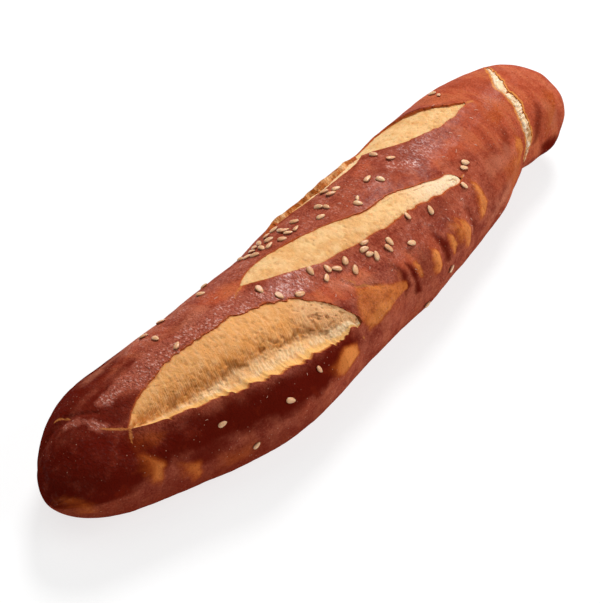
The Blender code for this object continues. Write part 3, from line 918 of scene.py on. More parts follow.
# %% Points of a slash's crumb
def slash_grid(slash):
    """For each point: mm along, degrees round, share of the way across, width, mm inside."""
    along = np.arange(slash["at"][0] + 0.4, slash["at"][-1] - 0.3, FINE)
    widest = max(np.subtract(slash["near_lip"], slash["far_lip"])) * MM_PER_DEGREE
    steps = np.linspace(0, 1, int((widest + 2 * TUCK) / FINE) + 2)
    x, step = np.meshgrid(along, steps, indexing="ij")
    far, near = lip(slash, "far_lip", x), lip(slash, "near_lip", x)
    width = np.maximum(near - far, 0.02) * MM_PER_DEGREE
    across = step * (width + 2 * TUCK) - TUCK
    held = np.clip(across / width, 0, 1)
    return x, far + across / MM_PER_DEGREE, held, width, np.minimum(across, width - across)


def nicked(flat):
    """How near each point is to one of the nicks, 0 to 1."""
    nick = np.zeros(flat.shape[:-1])
    for line in CRUMB_NICKS:
        gap = gap_to(flat.reshape(-1, 3), chart(*polyline(line, 10))).reshape(nick.shape)
        nick = np.maximum(nick, np.exp(-((gap / (0.14 + 0.1 * field(flat, 1.2, 88))) ** 2)))
    return nick


print("the near slash's crumb has", slash_grid(SLASHES["near"])[0].size, "points on top")


# %% Crumb of a slash
def slash_patch(name, torn):
    """The crumb of one slash; torn is 1 for the ripped, stringy one and 0 for the close ones."""
    x, turn, held, width, margin = slash_grid(SLASHES[name])
    depth = crumb_depth(SLASHES[name], held, width, x)
    flat = chart(x, turn)
    nick = nicked(flat) if name == "middle" else np.zeros(x.shape)
    line = np.interp(x, JUNCTION_AT, JUNCTION)
    below = smooth_step(held - line, -0.02, 0.10) * torn
    ledge = smooth_step(held, 0.87, 0.93) * torn
    comb = strands(x, held, width)
    pit, broad = (torn * amount for amount in hollows(x, held, width))
    combed = (0.35 + 0.5 * smooth_step(held - line, -0.2, 0.1)) * (1 - 0.6 * ledge) * torn
    coarse = torn * smooth_step(x + 3 * field(flat, 4.0, 87), 82, 92)
    pores = smooth_step(field(flat, 0.9, 82) + 0.1 * coarse, 0.5, 0.85) * (1 - ledge)
    grain = 0.10 * field(flat, 2.4, 83) + 0.07 * field(flat, 0.9, 84) + 0.04 * field(flat, 0.5, 85)
    lift = -depth + grain - (0.16 + 0.1 * coarse) * pores + 0.12 * comb * combed
    lift = lift - 0.8 * pit - 0.6 * broad - 0.22 * nick
    folded = dough_relief(x.ravel(), turn.ravel()).reshape(x.shape)
    lift += 0.5 * folded - 1.6 * np.maximum(-margin, 0)
    strand = below * (1 - 0.4 * ledge) * (0.5 + 0.4 * smooth_step(comb, -0.3, 0.4))
    strand = strand * (1 - 0.6 * broad) * (0.7 + 0.5 * field(flat, 3.0, 86))
    if name in FRESH_END:
        amount, first, last = FRESH_END[name]
        strand = strand + amount * smooth_step(x, first, last)
    values = {
        "torn": torn * (1 - 0.5 * ledge),
        "strand": strand,
        "ledge": ledge,
        "pale": (name == "middle") * 0.55 * smooth_step(x, 138, 156) + 0.22 * coarse * (1 - ledge),
        # painted shade in the pits, the loose hollows and the nicks
        "brown": np.clip(0.9 * pit + 0.65 * broad + 0.6 * nick, 0, 1),
        "wall": torn * smooth_step(held, 0.1, 0.5) * (1 - below),
        "fibre": smooth_step(comb, -0.1, 0.7) * np.clip(combed + 0.25, 0, 1),
        "pore": np.clip(pores, 0, 1) * (0.4 + 0.6 * torn + 0.3 * coarse),
        "rim": np.exp(-((np.maximum(margin, 0) / 0.38) ** 2)) * (1 - torn * (held > 0.5)),
    }
    return closed_patch(name + "_crumb", skin(x, turn, lift), values)


TORN = {"near": 1.0, "middle": 0.0, "far": 0.0, "crack": 0.15}
patches = [slash_patch(name, torn) for name, torn in TORN.items()]
print([f"{p.name}: {len(p.data.vertices)} points" for p in patches])

# %% [markdown]
# ## Crumb in the split across the end
#
# The split runs round the loaf instead of along it, so its patch is made the other way round:
# many steps round, few along. Its crumb is the palest and stands almost level, with short
# threads that bridge the gap.

# %% Split crumb
def split_patch():
    """The crumb in the split; its right half is baked brown where the split turns down the side."""
    angles = np.arange(SPLIT_ROUND[0] + 3, SPLIT_ROUND[-1] - 2, FINE / MM_PER_DEGREE)
    steps = np.linspace(0, 1, 16)
    turn, step = np.meshgrid(angles, steps, indexing="ij")
    left, right = split_edges(turn)
    width = np.maximum(right - left, 0.05)
    across = step * (width + 2 * TUCK) - TUCK
    x = left + across
    margin = np.minimum(across, width - across)
    flat = chart(x, turn)
    thread = field(flat * (0.35, 1, 1), 0.6, 91)
    pores = smooth_step(field(flat, 0.8, 92), 0.3, 0.8)
    lift = 0.05 + 0.2 * smooth_step(margin, 0, 0.8) + 0.25 * thread - 0.35 * pores
    broad = dough_relief(x.ravel(), turn.ravel()).reshape(x.shape)
    lift += 0.5 * broad - 2.2 * np.maximum(-margin, 0)
    baked = smooth_step(turn, 38, 58) * smooth_step(step + 0.15 * field(flat, 1.2, 94), 0.38, 0.5)
    values = {
        "strand": 0.85 + 0.15 * smooth_step(thread, 0.0, 0.6),
        "pale": (0.6 + 0.4 * smooth_step(thread, 0.0, 0.6)) * (1 - baked),
        # the baked brown half of the split, and painted shade between the threads
        "brown": 0.2 * smooth_step(-thread, 0.2, 0.8) + 0.8 * baked,
        "pore": 0.6 * pores,
        "rim": np.exp(-((np.maximum(margin, 0) / (0.55 + 0.35 * field(flat, 1.0, 93))) ** 2)),
    }
    return closed_patch("split_crumb", skin(x, turn, lift), values)


patches.append(split_patch())
print("split crumb:", len(patches[-1].data.vertices), "points")

# %% [markdown]
# ## Sesame seeds
#
# The seeds were thrown on by hand while the skin was wet, so they lie in small handfuls, the
# thickest one at the edge of the crown. Each is listed with its place, its heading in radians
# and its size.
#
# A sesame seed is a flat drop 3 mm long: blunt at one end, pointed at the other, thickest in
# the middle. We make it from rings of points, give each its own tilt and tone, and join them
# all into one mesh.

# %% Where the seeds land
SESAME = (
    # along, round, heading, size
    (115.3, -32, -1.0, 1.00), (120.3, -17, -0.5, 0.95), (110.5, -43, -0.6, 1.00),
    (110.1, -35, 1.5, 0.95), (110.5, -31, -0.4, 1.00), (109.7, -26, -1.1, 1.00),
    (112.3, -24, 0.3, 0.90), (107.5, -44, 0.1, 0.95), (105.3, -36, -0.5, 1.00),
    (106.5, -25, -0.8, 0.95), (102.7, -30, -0.0, 0.95), (101.3, -35, -1.9, 1.00),
    (103.7, -44, -2.0, 0.95), (101.7, -45, -1.8, 1.00), (99.7, -43, -1.5, 0.95),
    (97.7, -34, -1.1, 1.05), (96.9, -41, -0.5, 0.95), (96.3, -49, -1.5, 0.90),
    (124.1, -26, -1.3, 1.05), (124.9, -20, -1.6, 0.85), (130.9, -33, 2.6, 0.95),
    (130.7, -26, -0.6, 1.05), (133.3, -26, -0.5, 0.90), (141.3, -12, 0.1, 1.05),
    (143.3, -5, -1.4, 1.00), (132.5, -7, 0.6, 0.65), (130.7, -4, -1.2, 1.00),
    (137.1, 23, 1.4, 0.90), (119.3, 16, -0.3, 0.95), (117.5, 19, -0.3, 1.00),
    (117.5, 24, -0.5, 0.90), (118.5, 28, 1.0, 1.00), (125.5, 27, -1.6, 1.00),
    (123.5, 30, -1.4, 1.05), (131.1, 39, 2.6, 1.00), (110.3, 16, 0.9, 1.05),
    (106.3, 16, 2.3, 1.05), (110.1, 25, 0.8, 1.05), (104.3, 12, 1.4, 1.00),
    (101.5, 16, 0.6, 0.95), (84.9, -6, -1.8, 1.05), (86.5, 4, -1.6, 1.00),
    (91.1, 12, -0.5, 1.05), (99.9, 6, -1.9, 1.05), (81.5, -54, -1.1, 0.90),
    (76.3, -42, -1.0, 0.95), (191.2, -41, -1.4, 1.00), (190.2, -30, -2.1, 0.70),
    (153.3, -26, -1.5, 1.00), (154.5, -13, -0.5, 1.05), (169.6, 27, -0.7, 1.00),
    (167.5, 29, -0.7, 0.95), (162.1, 38, -1.1, 1.00), (145.1, 32, 1.2, 1.00),
    (141.1, 85, 0.4, 0.95), (129.1, 100, -0.1, 0.95), (62.3, -50, -0.6, 1.00),
    (54.6, -44, -0.6, 0.95), (54.4, -30, -1.5, 1.00), (54.6, -11, 0.8, 1.00),
    (45.8, 53, 0.1, 0.90), (65.1, 63, -0.5, 0.95), (78.3, 59, -1.3, 0.85),
    (51.8, 87, 0.7, 0.90),
)

print(len(SESAME), "sesame seeds")

# %% Standing on the crust
def crust_frame(x, turn):
    """A point of the crust with directions along it, across it and out of it."""
    near = np.array([(0, 0), (0.6, 0), (-0.6, 0), (0, 1.5), (0, -1.5)]) + (x, turn)
    points = skin(near[:, 0], near[:, 1], crust_relief(near[:, 0], near[:, 1])[0])
    along = Vector(points[1] - points[2]).normalized()
    out = along.cross(Vector(points[3] - points[4])).normalized()
    if out.dot(Vector(points[0] - skin(x, turn, -8.0))) < 0:
        out = -out
    return Vector(points[0]), along, out


print("out of the crust at the first seed:", [round(v, 2) for v in crust_frame(*SESAME[0][:2])[2]])


# %% Shape of one seed
def seed_shape(rings=13, sides=18, length=3.15, width=1.9, thick=1.0):
    """Points and faces of one drop-shaped seed lying along X, and how dark each point is: painted
    shade at its rim and underside, and browner at both tips.
    """
    points, edge = [(-length / 2, 0, 0)], [1.0]
    for i in range(1, rings):
        s = -math.cos(math.pi * i / rings)
        girth = (1 - abs(s) ** 2.3) ** 0.5 * (1 - 0.20 * s - 0.10 * max(s, 0) ** 3)
        for k in range(sides):
            a = 2 * math.pi * k / sides
            rise = math.sin(a) * (1 - 0.25 * abs(math.cos(a)) ** 3)
            points.append((
                s * length / 2, 0.5 * width * girth * math.cos(a), 0.5 * thick * girth * rise,
            ))
            # painted shade at the rim and underside, and darker at both tips
            edge.append(max(abs(math.cos(a)) ** 3, s**8 * 0.9, 0.8 * (math.sin(a) < -0.2)))
    points.append((length / 2, 0, 0))
    edge.append(1.0)
    faces = [(0, 1 + (k + 1) % sides, 1 + k) for k in range(sides)]
    for i in range(rings - 2):
        for k in range(sides):
            a, b = 1 + i * sides + k, 1 + i * sides + (k + 1) % sides
            faces.append((a, b, b + sides, a + sides))
    last = 1 + (rings - 2) * sides
    faces += [(len(points) - 1, last + k, last + (k + 1) % sides) for k in range(sides)]
    return np.array(points), faces, np.array(edge)


print("one seed has", len(seed_shape()[1]), "faces")


# %% Lay the seeds
def lay_seeds(name, spots, shape, seat, seed):
    """Joins a copy of the shape for each spot, seat mm above the crust, each tilted anew."""
    draw = random.Random(seed)
    base, base_faces, edge = shape
    points, faces, tone, edges = [], [], [], []
    for x, turn, heading, size in spots:
        centre, along, out = crust_frame(x, turn)
        side = out.cross(along).normalized()
        long = along * math.cos(heading) + side * math.sin(heading)
        long = (long + out * draw.uniform(-0.16, 0.16)).normalized()
        wide = out.cross(long).normalized()
        wide = (wide + out * draw.uniform(-0.25, 0.25)).normalized()
        up = long.cross(wide).normalized()
        turned = np.array(Matrix((long, wide, up)).transposed())
        bent = base.copy()
        bent[:, 1] += draw.uniform(-0.05, 0.05) * base[:, 0] ** 2
        start = sum(len(p) for p in points)
        points.append(np.array(centre + out * seat) + (bent * size) @ turned.T)
        faces += [tuple(start + i for i in face) for face in base_faces]
        tone.append(np.full(len(base), draw.random()))
        edges.append(edge)
    values = {"tone": np.concatenate(tone), "edge": np.concatenate(edges)}
    return put_mesh(name, np.concatenate(points), faces, values)


seeds = lay_seeds("sesame", SESAME, seed_shape(), 0.26, 5)
print("sesame mesh:", len(seeds.data.polygons), "faces")

# %% [markdown]
# ## Flakes of hull
#
# Rubbed seeds leave thin pale flakes of hull on the crust: small curved slivers, a millimetre
# long, with light catching their edges. They are far too thin to matter as solids, but
# without them a seeded crust looks too clean.

# %% Shape of one flake
def flake_shape(length=1.5, width=0.34, thick=0.1):
    """A thin crescent: a flat curved strip with rounded ends."""
    points, faces, place = [], [], []
    steps, sides = 9, 6
    for i in range(steps):
        t = i / (steps - 1)
        bend = (t - 0.5) * 1.5
        centre = (math.sin(bend) * length / 1.5, (1 - math.cos(bend)) * length / 1.6)
        girth = math.sin(math.pi * (0.08 + 0.84 * t)) ** 0.7
        for k in range(sides):
            a = 2 * math.pi * k / sides
            reach = 0.5 * width * girth * math.cos(a)
            points.append((
                centre[0] - reach * math.sin(bend), centre[1] + reach * math.cos(bend),
                0.5 * thick * math.sin(a),
            ))
            place.append(t)
    for i in range(steps - 1):
        for k in range(sides):
            a, b = i * sides + k, i * sides + (k + 1) % sides
            faces.append((a, b, b + sides, a + sides))
    faces += [tuple(range(sides))[::-1], tuple((steps - 1) * sides + k for k in range(sides))]
    return np.array(points), faces, np.array(place)


print("one flake has", len(flake_shape()[1]), "faces")

# %% Lay the flakes
FLAKES = (
    # along, round
    (76, -26), (79, -24), (76, -12), (96, 4), (99, 29), (114, 31), (119, 43), (127, 57), (124, 32),
    (103, 36), (173, 92), (128, -14), (131, -16), (133, -10), (139, -18), (128, -8), (137, -19),
    (120, -14), (116, -24), (145, -2), (150, 40), (153, 51), (155, 57), (157, 63), (152, 46),
    (160, 20), (166, 12), (172, 0), (177, 10), (181, -2), (186, 8), (178, 24), (171, 16), (165, 33),
    (184, -22), (176, 4), (190, 6), (148, 46), (156, 68), (43, 44), (60, 51), (74, 55), (158, 44),
)


draw = random.Random(23)
flake_spots = [(x, turn, draw.uniform(0, math.pi), draw.uniform(0.5, 1.05)) for x, turn in FLAKES]
flakes = lay_seeds("hull_flakes", flake_spots, flake_shape(), 0.04, 9)
print("hull flakes:", len(flakes.data.polygons), "faces")

# %% [markdown]
# ## Writing materials as sums
#
# A material in Blender is a graph of nodes. For numbers it is easier to write `0.3 + 0.2 *
# mottle` and let the class `Amount` add the Math nodes. Colours must not pass through a Math
# node, which would turn them grey, so they are mixed with `blend`. `Finish` holds one material,
# and its method `node` makes every other kind of node.

# %% Numbers that vary over a surface
class Amount:
    """The socket of a node, which can be added, subtracted and multiplied."""

    def __init__(self, finish, socket):
        self.finish, self.socket = finish, socket

    def _do(self, operation, first, second):
        return self.finish.node("ShaderNodeMath", {"operation": operation}, {0: first, 1: second})

    def __add__(self, other):
        return self._do("ADD", self, other)

    def __mul__(self, other):
        return self._do("MULTIPLY", self, other)

    def __sub__(self, other):
        return self._do("SUBTRACT", self, other)

    def __rsub__(self, other):
        return self._do("SUBTRACT", other, self)

    def __abs__(self):
        return self._do("ABSOLUTE", self, 0.0)

    __radd__, __rmul__ = __add__, __mul__


def tint(code):
    """A colour as picked on screen, turned into light: '8c321c' is a red-brown."""
    parts = [int(code[i:i + 2], 16) / 255 for i in (0, 2, 4)]
    return (*[p / 12.92 if p <= 0.04045 else ((p + 0.055) / 1.055) ** 2.4 for p in parts], 1.0)


print("one sample colour:", [round(c, 3) for c in tint("8c321c")])


# %% A material in the making
class Finish:
    """A material, with short names for the nodes that it needs."""

    def __init__(self, name, **constants):
        self.material = bpy.data.materials.new(name)
        self.material.use_nodes = True
        self.tree = self.material.node_tree
        self.shader = self.tree.nodes["Principled BSDF"]
        for label, value in constants.items():
            title = label.replace("_", " ").title().replace("Ior", "IOR")
            self.shader.inputs[title].default_value = value
        self.place = self.node("ShaderNodeTexCoord", output="Object")

    def feed(self, socket, value):
        if isinstance(value, Amount):
            self.tree.links.new(value.socket, socket)
        else:
            socket.default_value = value

    def node(self, kind, settings=None, sockets=None, output=0):
        made = self.tree.nodes.new(kind)
        for label, value in (settings or {}).items():
            setattr(made, label, value)
        for label, value in (sockets or {}).items():
            self.feed(made.inputs[label], value)
        return Amount(self, made.outputs[output])

    def set(self, label, value):
        self.feed(self.shader.inputs[label], value)

    def mark(self, label):
        """A number stored on the points of the mesh."""
        return self.node("ShaderNodeAttribute", {"attribute_name": label}, output="Fac")

    def axis(self, letter):
        """How far a point lies along X, Y or Z, in metres."""
        return self.node("ShaderNodeSeparateXYZ", {}, {0: self.place}, letter)

    def stretch(self, factors):
        """The place, squeezed along each axis where the factor is below 1."""
        sockets = {0: self.place, 1: factors}
        return self.node("ShaderNodeVectorMath", {"operation": "MULTIPLY"}, sockets)

    def noise(self, mm, detail=3.0, rough=0.55, place=None):
        """Cloudy noise from 0 to 1 whose blobs are about so many mm wide."""
        sockets = {"Vector": place or self.place, "Scale": 1000 / mm}
        sockets |= {"Detail": detail, "Roughness": rough}
        return self.node("ShaderNodeTexNoise", {}, sockets, "Fac")

    def dots(self, mm, small, large):
        """1 in scattered dots about so many mm apart, fading from a small radius to a large one."""
        sockets = {"Vector": self.place, "Scale": 1000 / mm}
        distance = self.node("ShaderNodeTexVoronoi", {}, sockets, "Distance")
        return 1 - self.step(distance, small, large)

    def step(self, value, low, high, top=1.0):
        """0 below low, top above high, and smooth between."""
        sockets = {"Value": value, "From Min": low, "From Max": high, "To Min": 0.0, "To Max": top}
        return self.node("ShaderNodeMapRange", {"interpolation_type": "SMOOTHSTEP"}, sockets)

    def blend(self, share, first, second):
        """The second colour over the first."""
        return self.node("ShaderNodeMix", {"data_type": "RGBA"}, {0: share, 6: first, 7: second}, 2)

    def layers(self, colour, *layers):
        """Lays one tint after another over a colour, each by its own amount."""
        for share, code in layers:
            colour = self.blend(share, colour, tint(code))
        return colour

    def relief(self, height, mm, strength=1.0, after=None):
        """Turns a height from 0 to 1 into a bump of so many mm, on top of the bumps before it."""
        sockets = {"Strength": strength, "Distance": mm * MM, "Height": height}
        if after:
            sockets["Normal"] = after
        return self.node("ShaderNodeBump", {}, sockets)


print("a finish knows:", [word for word in vars(Finish) if not word.startswith("_")])

# %% [markdown]
# ## The lye crust
#
# Lye crust is a thin brown glaze over dough: mahogany where it is thick, rust and amber where
# it stretched thin. The broad browning comes from the numbers on the points, and here we add
# the patterns that are too fine for them. Each noise is named for what it stands for, and its
# first number is the width of a blob in mm. `stripe` is long across the stick and narrow along
# it, as stretched dough is, and `low` is 1 near the table, where the crust baked less brightly.

# %% Patterns of the crust
lye = Finish("lye_crust", specular_ior_level=0.0, coat_roughness=0.26, coat_ior=1.5)
amber, dark, rust, flap = (lye.mark(label) for label in ("amber", "dark", "rust", "flap"))
leather, toast, tear, pale = (lye.mark(label) for label in ("leather", "toast", "tear", "pale"))
blister, flesh = lye.mark("blister"), lye.mark("flesh")

cloud, mottle = lye.noise(14), lye.noise(4.5, 4.0, 0.6)
dapple, grain = lye.noise(1.7, 3.0, 0.6), lye.noise(0.62, 3.0, 0.7)
stripe = lye.noise(4.0, 3.0, 0.55, lye.stretch((1.0, 0.22, 0.22)))
creased = lye.noise(0.7, 2.0, 0.7, lye.stretch((1.0, 0.6, 1.0)))
ridge = lye.noise(2.0, 3.0, 0.6, lye.stretch((1.0, 0.5, 0.5)))
# tiny pale specks, painted as glints
glint_specks = lye.dots(1.5, 0.07, 0.16) * lye.step(lye.noise(7.0, 1.0), 0.46, 0.60)
low = 1 - lye.step(lye.axis("Z"), 0.004, 0.020)
light = 1 - lye.step(dark, 0.0, 1.0)
print("the crust's patterns take", len(lye.tree.nodes), "nodes")

# %% [markdown]
# The colour is built up as a painter would glaze it: a ground of two browns, then one thin
# layer after another. The amount of each layer is a stored number whose edge is frayed by the
# mottling, so that no patch ends in a clean line.

# %% Colours of the crust
def frayed(amount, depth, pattern=mottle):
    """An amount whose edge is broken up by a pattern."""
    return amount + depth * (pattern - 0.5)


open_crust = light * (1 - low)
plain_crust = 1 - 0.75 * rust
colour = lye.blend(lye.step(mottle, 0.36, 0.64), tint("883626"), tint("aa553e"))
colour = lye.layers(
    colour,
    (lye.step(cloud, 0.48, 0.7, 0.5), "aa4a2e"),  # rust-red clouds
    (low * 0.9, "7e2a12"),  # near the table
    (lye.step(frayed(rust, 0.4), 0.1, 0.9, 0.9), "b65032"),
    (lye.step(stripe, 0.48, 0.64, 0.6) * (0.2 + 0.8 * rust), "cc7046"),  # pale and dark stripes
    (lye.step(1 - stripe, 0.5, 0.68, 0.4) * (1 - 0.3 * rust), "802c1a"),
    (lye.step(frayed(dark, 0.3), 0.05, 0.95, 0.98), "5e1309"),  # scorched, with redder mottling
    (lye.step(dark * lye.step(mottle, 0.5, 0.7), 0.2, 0.9, 0.5), "74200e"),
    # painted mauve sheen on the creased crust and the crown
    (lye.step(frayed(leather, 0.5), 0.15, 0.85, 0.75), "b25e4a"),
    # painted pale sheen and reflection from the paler bands
    (lye.step(frayed(pale, 0.5), 0.1, 1.0, 0.85), "cc7a5c"),
    (lye.step(frayed(amber, 0.35), 0.05, 0.75), "b0501f"),  # amber, its heart and its stripes
    (lye.step(frayed(amber, 0.8), 0.35, 1.15, 0.94), "e68c48"),
    (lye.step(amber * lye.step(stripe, 0.44, 0.62), 0.3, 1.1, 0.4), "b4602c"),
    (lye.step(grain, 0.48, 0.70, 0.3) * open_crust, "cc785c"),  # light and dark grain
    (lye.step(1 - grain, 0.52, 0.72, 0.4), "4c1008"),
    (lye.step(dapple, 0.5, 0.7, 0.34) * open_crust * plain_crust, "6c2418"),
    (lye.step(1 - dapple, 0.52, 0.7, 0.24) * open_crust * plain_crust, "c87254"),
    (lye.step(toast, 0.3, 1.0, 0.8), "b8582a"),  # the thin edge beside a lip
    (lye.step(frayed(blister, 0.4), 0.3, 0.9, 0.9), "d88a44"),
    (lye.step(frayed(tear, 0.3, grain), 0.3, 0.95, 0.75), "cc7e42"),
)
print("the crust's colours bring them to", len(lye.tree.nodes), "nodes")

# %% [markdown]
# On the crown and beside the first slash the skin dried into fine creases like leather, and
# each crease catches a spark of light. A strong gloss under soft lights would lay a grey haze
# over so dark a brown, so the sparks are painted in as pale glints, the creases between them
# are darkened with painted shade, and the coat stays thin.
# Behind the crack, the torn flap shows the tan underside of the crust.

# %% Glints, specks and the flap
glint = lye.step(frayed(creased, 0.5), 0.56, 0.68)
colour = lye.layers(
    colour,
    # painted shade in the creases between the glints
    (lye.step(1 - creased, 0.50, 0.66) * lye.step(leather, 0.15, 1.0, 0.4), "6a221a"),
    (glint * lye.step(leather, 0.1, 1.0, 0.6), "e0b0a2"),
    (glint_specks * 0.5, "cf9a80"),  # tiny pale specks, painted glints
)
loose = lye.blend(lye.step(ridge, 0.42, 0.58), tint("b4642c"), tint("dca068"))
loose = lye.layers(loose, (lye.step(ridge, 0.6, 0.68, 0.7), "f2cc9c"))
colour = lye.blend(lye.step(flap, 0.3, 0.8, 0.95), colour, loose)
lye.set("Base Color", lye.layers(colour, (lye.step(flesh, 0.12, 0.45), "d88c4c")))
lye.set("Roughness", 0.5 + 0.12 * (mottle - 0.5) + 0.1 * amber)
lye.set("Coat Weight", (0.04 * light + 0.3 * leather * lye.step(creased, 0.45, 0.6)) * (1 - low))
print("with glints and flap there are", len(lye.tree.nodes), "nodes")

# %% Fine relief of the crust
between_creases = lye.step(abs(lye.noise(1.6, 3.0, 0.6) - 0.5), 0.0, 0.16)
bumps = (
    # height, mm, strength
    (creased, 0.3, 0.6),
    (dapple, 0.35, 0.6),
    (creased * leather, 0.25, 0.8),
    (between_creases * (0.4 + 0.6 * leather), 0.14, 0.8),
    (glint_specks, 0.08, 0.9),
    (ridge * flap, 0.8, 0.8),
)
normal = None
for bump_height, mm, strength in bumps:
    normal = lye.relief(bump_height, mm, strength, normal)
lye.set("Normal", normal)
crust.data.materials.append(lye.material)
print("and with", len(bumps), "bumps", len(lye.tree.nodes))

# %% [markdown]
# ## Crumb
#
# Crumb is matt and faintly translucent. Where it has been baked in the open it turns golden,
# and freshly torn strands are nearly white; the hollows deep in the tear, the pores and the
# nicks are darkened with painted shade. One material serves all the patches, because they
# differ only in those amounts, which the points carry.
# Its finest pattern is `thread`: noise that is narrow along the slash and long across it.

# %% Patterns of the crumb
bread = Finish(
    "bread_crumb", roughness=0.9, specular_ior_level=0.15,
    subsurface_weight=0.12, subsurface_scale=0.004,
)
torn, strand, ledge, wall = (bread.mark(label) for label in ("torn", "strand", "ledge", "wall"))
brown, fibre, pore, rim = (bread.mark(label) for label in ("brown", "fibre", "pore", "rim"))
cloud, patch, grain = bread.noise(5.5), bread.noise(2.6, 3.0, 0.6), bread.noise(0.55, 3.0, 0.7)
slant = {0: bread.place, 1: (1.0, -0.4, 0.0)}
leaning = bread.node("ShaderNodeVectorMath", {"operation": "DOT_PRODUCT"}, slant, "Value")
combed = bread.node("ShaderNodeCombineXYZ", {}, {"X": leaning, "Y": bread.axis("Y") * 0.16})
thread = bread.noise(0.45, 3.0, 0.65, combed)
print("the crumb's patterns take", len(bread.tree.nodes), "nodes")

# %% Colours and relief of the crumb
colour = bread.blend(bread.step(cloud, 0.4, 0.66), tint("efc086"), tint("e5ab6c"))
colour = bread.layers(
    colour,
    (bread.step(patch, 0.5, 0.72, 0.55), "dd9852"),  # golden patches
    (torn * 0.92, "e8a260"),
    (torn * bread.step(patch, 0.42, 0.66, 0.7), "e8a560"),
    (wall * bread.step(patch + cloud, 0.75, 1.15, 0.85), "dc8c42"),
    (strand * 0.95, "fcd6a4"),
    (bread.mark("pale") * 0.7, "f6e4cc"),
    (fibre * 0.28, "f6d8ac"),
    (ledge * 0.85, "f4b668"),
    # painted shade in the hollows and nicks, and the baked brown half of the split
    (brown * 0.8, "aa6a34"),
    (bread.step(thread, 0.5, 0.66, 0.4) * wall, "f0b878"),  # light and dark threads
    (bread.step(thread, 0.5, 0.66, 0.25) * strand, "fbe2b8"),
    (bread.step(1 - thread, 0.5, 0.68, 0.28) * (wall * wall + 0.2 * strand), "b46e30"),
    (bread.step(grain, 0.52, 0.74, 0.26) * (1 - 0.6 * wall), "f8d8a8"),
    (bread.step(1 - grain, 0.56, 0.76, 0.34), "bc7e40"),
    # painted shade in the pores, and in scattered tiny pits
    (pore * 0.35, "a8703c"),
    (bread.dots(1.5, 0.07, 0.16) * bread.step(bread.noise(5.0, 1.0), 0.42, 0.6, 0.5), "9a5a28"),
    (rim * 0.7, "c86e30"),  # the toasted border
)
bread.set("Base Color", colour)
normal = bread.relief(grain, 0.14, 0.8)
normal = bread.relief(thread * (wall + strand), 0.3, 0.8, normal)
bread.set("Normal", bread.relief(bread.dots(1.1, 0.1, 0.3), 0.08, 0.5, normal))
for piece in patches:
    piece.data.materials.append(bread.material)
print("the crumb takes", len(bread.tree.nodes), "nodes and covers", len(patches), "patches")

# %% [markdown]
# ## Sesame and hull
#
# Hulled sesame is cream with a faint brown at the pointed tip, lightly toasted in the oven,
# each seed a little different. It is smooth and slightly oily, so it has a soft highlight. Its
# rim and underside are darkened with painted shade. The flakes of hull are tan, and duller.

# %% Seed and hull materials
sesame = Finish("toasted_sesame", roughness=0.42, subsurface_weight=0.15, subsurface_scale=0.002)
grain = sesame.noise(0.6)
colour = sesame.layers(
    sesame.blend(sesame.mark("tone"), tint("ecb88a"), tint("d49868")),
    (sesame.step(grain, 0.45, 0.75, 0.4), "f6d4a4"),
    # painted shade at each seed's rim and underside, and browner tips
    (sesame.step(sesame.mark("edge"), 0.35, 1.0, 0.8), "8a4826"),
)
sesame.set("Base Color", colour)
sesame.set("Normal", sesame.relief(grain, 0.05, 0.5))
seeds.data.materials.append(sesame.material)

hull = Finish("sesame_hull", roughness=0.5)
colour = hull.blend(hull.mark("tone") * 0.8, tint("c08068"), tint("dca890"))
hull.set("Base Color", hull.layers(colour, (hull.noise(0.5) * 0.5, "a86048")))
flakes.data.materials.append(hull.material)
print("seeds and flakes take", len(sesame.tree.nodes) + len(hull.tree.nodes), "nodes")

# %% [markdown]
# ## The pieces ride on the model
#
# All of these pieces stand for the single solid of the packed model, so each one rides on its
# body, and the solid itself is hidden.

# %% Ride on the model
pieces = [crust, *patches, seeds, flakes]
for piece in pieces:
    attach(piece, "root")
    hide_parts("pretzel_stick")
print([piece.name for piece in pieces])

# %% [markdown]
# ## A pale floor and soft light
#
# The stick lies on a white table. The key light stands behind it and to the right, so the
# slashes' near ledges catch it while the blunt end falls into shade. A wide light overhead and
# a reflector in front fill the shadows. The table glows faintly of its own, like a lit white
# sheet, so that it stays white without throwing much light back at the crust.

# %% Floor
scene = bpy.context.scene
REACH = 4.0  # metres from the middle of the table to its edge
corners = [(-REACH, -REACH, 0), (REACH, -REACH, 0), (REACH, REACH, 0), (-REACH, REACH, 0)]
mesh = bpy.data.meshes.new("table")
mesh.from_pydata(corners, [], [(0, 1, 2, 3)])
table = bpy.data.objects.new("table", mesh)
scene.collection.objects.link(table)
table.location.z = -0.0002

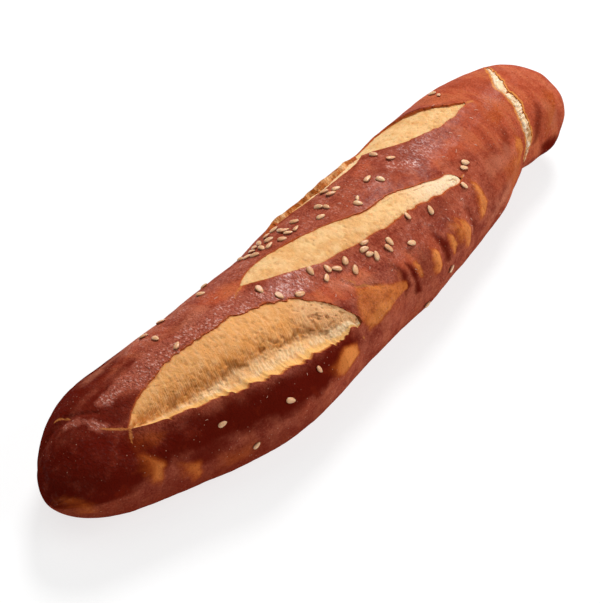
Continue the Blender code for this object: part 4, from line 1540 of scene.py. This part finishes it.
white = Finish(
    "white_table", roughness=0.9, emission_color=(1.0, 1.0, 1.0, 1.0), emission_strength=0.74,
)
greys = (0.31, 0.31, 0.31, 1), (0.29, 0.29, 0.29, 1)
white.set("Base Color", white.blend(white.noise(60.0) * 0.3, *greys))
table.data.materials.append(white.material)
print("table of", 2 * REACH, "m")


# %% Lights
def soft_light(name, place, size, power):
    """A round soft light that looks at the stick."""
    light = bpy.data.lights.new(name, "AREA")
    light.shape, light.size, light.energy = "DISK", size, power
    lamp = bpy.data.objects.new(name, light)
    scene.collection.objects.link(lamp)
    lamp.location = place
    lamp.rotation_euler = (Vector((0, 0, 0.02)) - Vector(place)).to_track_quat("-Z", "Y").to_euler()


soft_light("key", (0.85, 0.42, 1.0), 0.5, 17.0)
soft_light("overhead", (-0.25, 0.35, 1.5), 1.2, 4.5)
soft_light("reflector", (0.55, -1.0, 0.75), 1.0, 9.0)

world = bpy.data.worlds.new("white_studio")
world.use_nodes = True
backdrop = world.node_tree.nodes["Background"].inputs
backdrop["Color"].default_value, backdrop["Strength"].default_value = (1, 1, 1, 1), 0.06
scene.world = world
scene.view_settings.view_transform = "Standard"

# %% [markdown]
# ## The camera
#
# The camera looks down at the stick from beyond its blunt end, through a long lens, so that
# the near and the far end keep nearly the same scale. `TURN` is the way it faces, in degrees
# from +Y towards +X, and `TILT` how far it looks down.

# %% Camera
TURN, TILT, AWAY = math.radians(52.5), math.radians(50), 0.6
target = Vector((-0.0095, -0.00034, 0.015))
look = Vector((math.sin(TURN) * math.cos(TILT), math.cos(TURN) * math.cos(TILT), -math.sin(TILT)))
camera = bpy.data.objects.new("camera", bpy.data.cameras.new("camera"))
camera.data.lens, camera.data.sensor_width, camera.data.clip_start = 116.24, 36.0, 0.01
camera.location = target - look * AWAY
camera.rotation_euler = look.to_track_quat("-Z", "Y").to_euler()
scene.collection.objects.link(camera)
bpy.context.scene.camera = camera
print("camera at", [round(v, 3) for v in camera.location])

# %% [markdown]
# ## The size
#
# The dressed stick is meant to fill the same box as the solid; `put_mesh` clips every point into
# it.
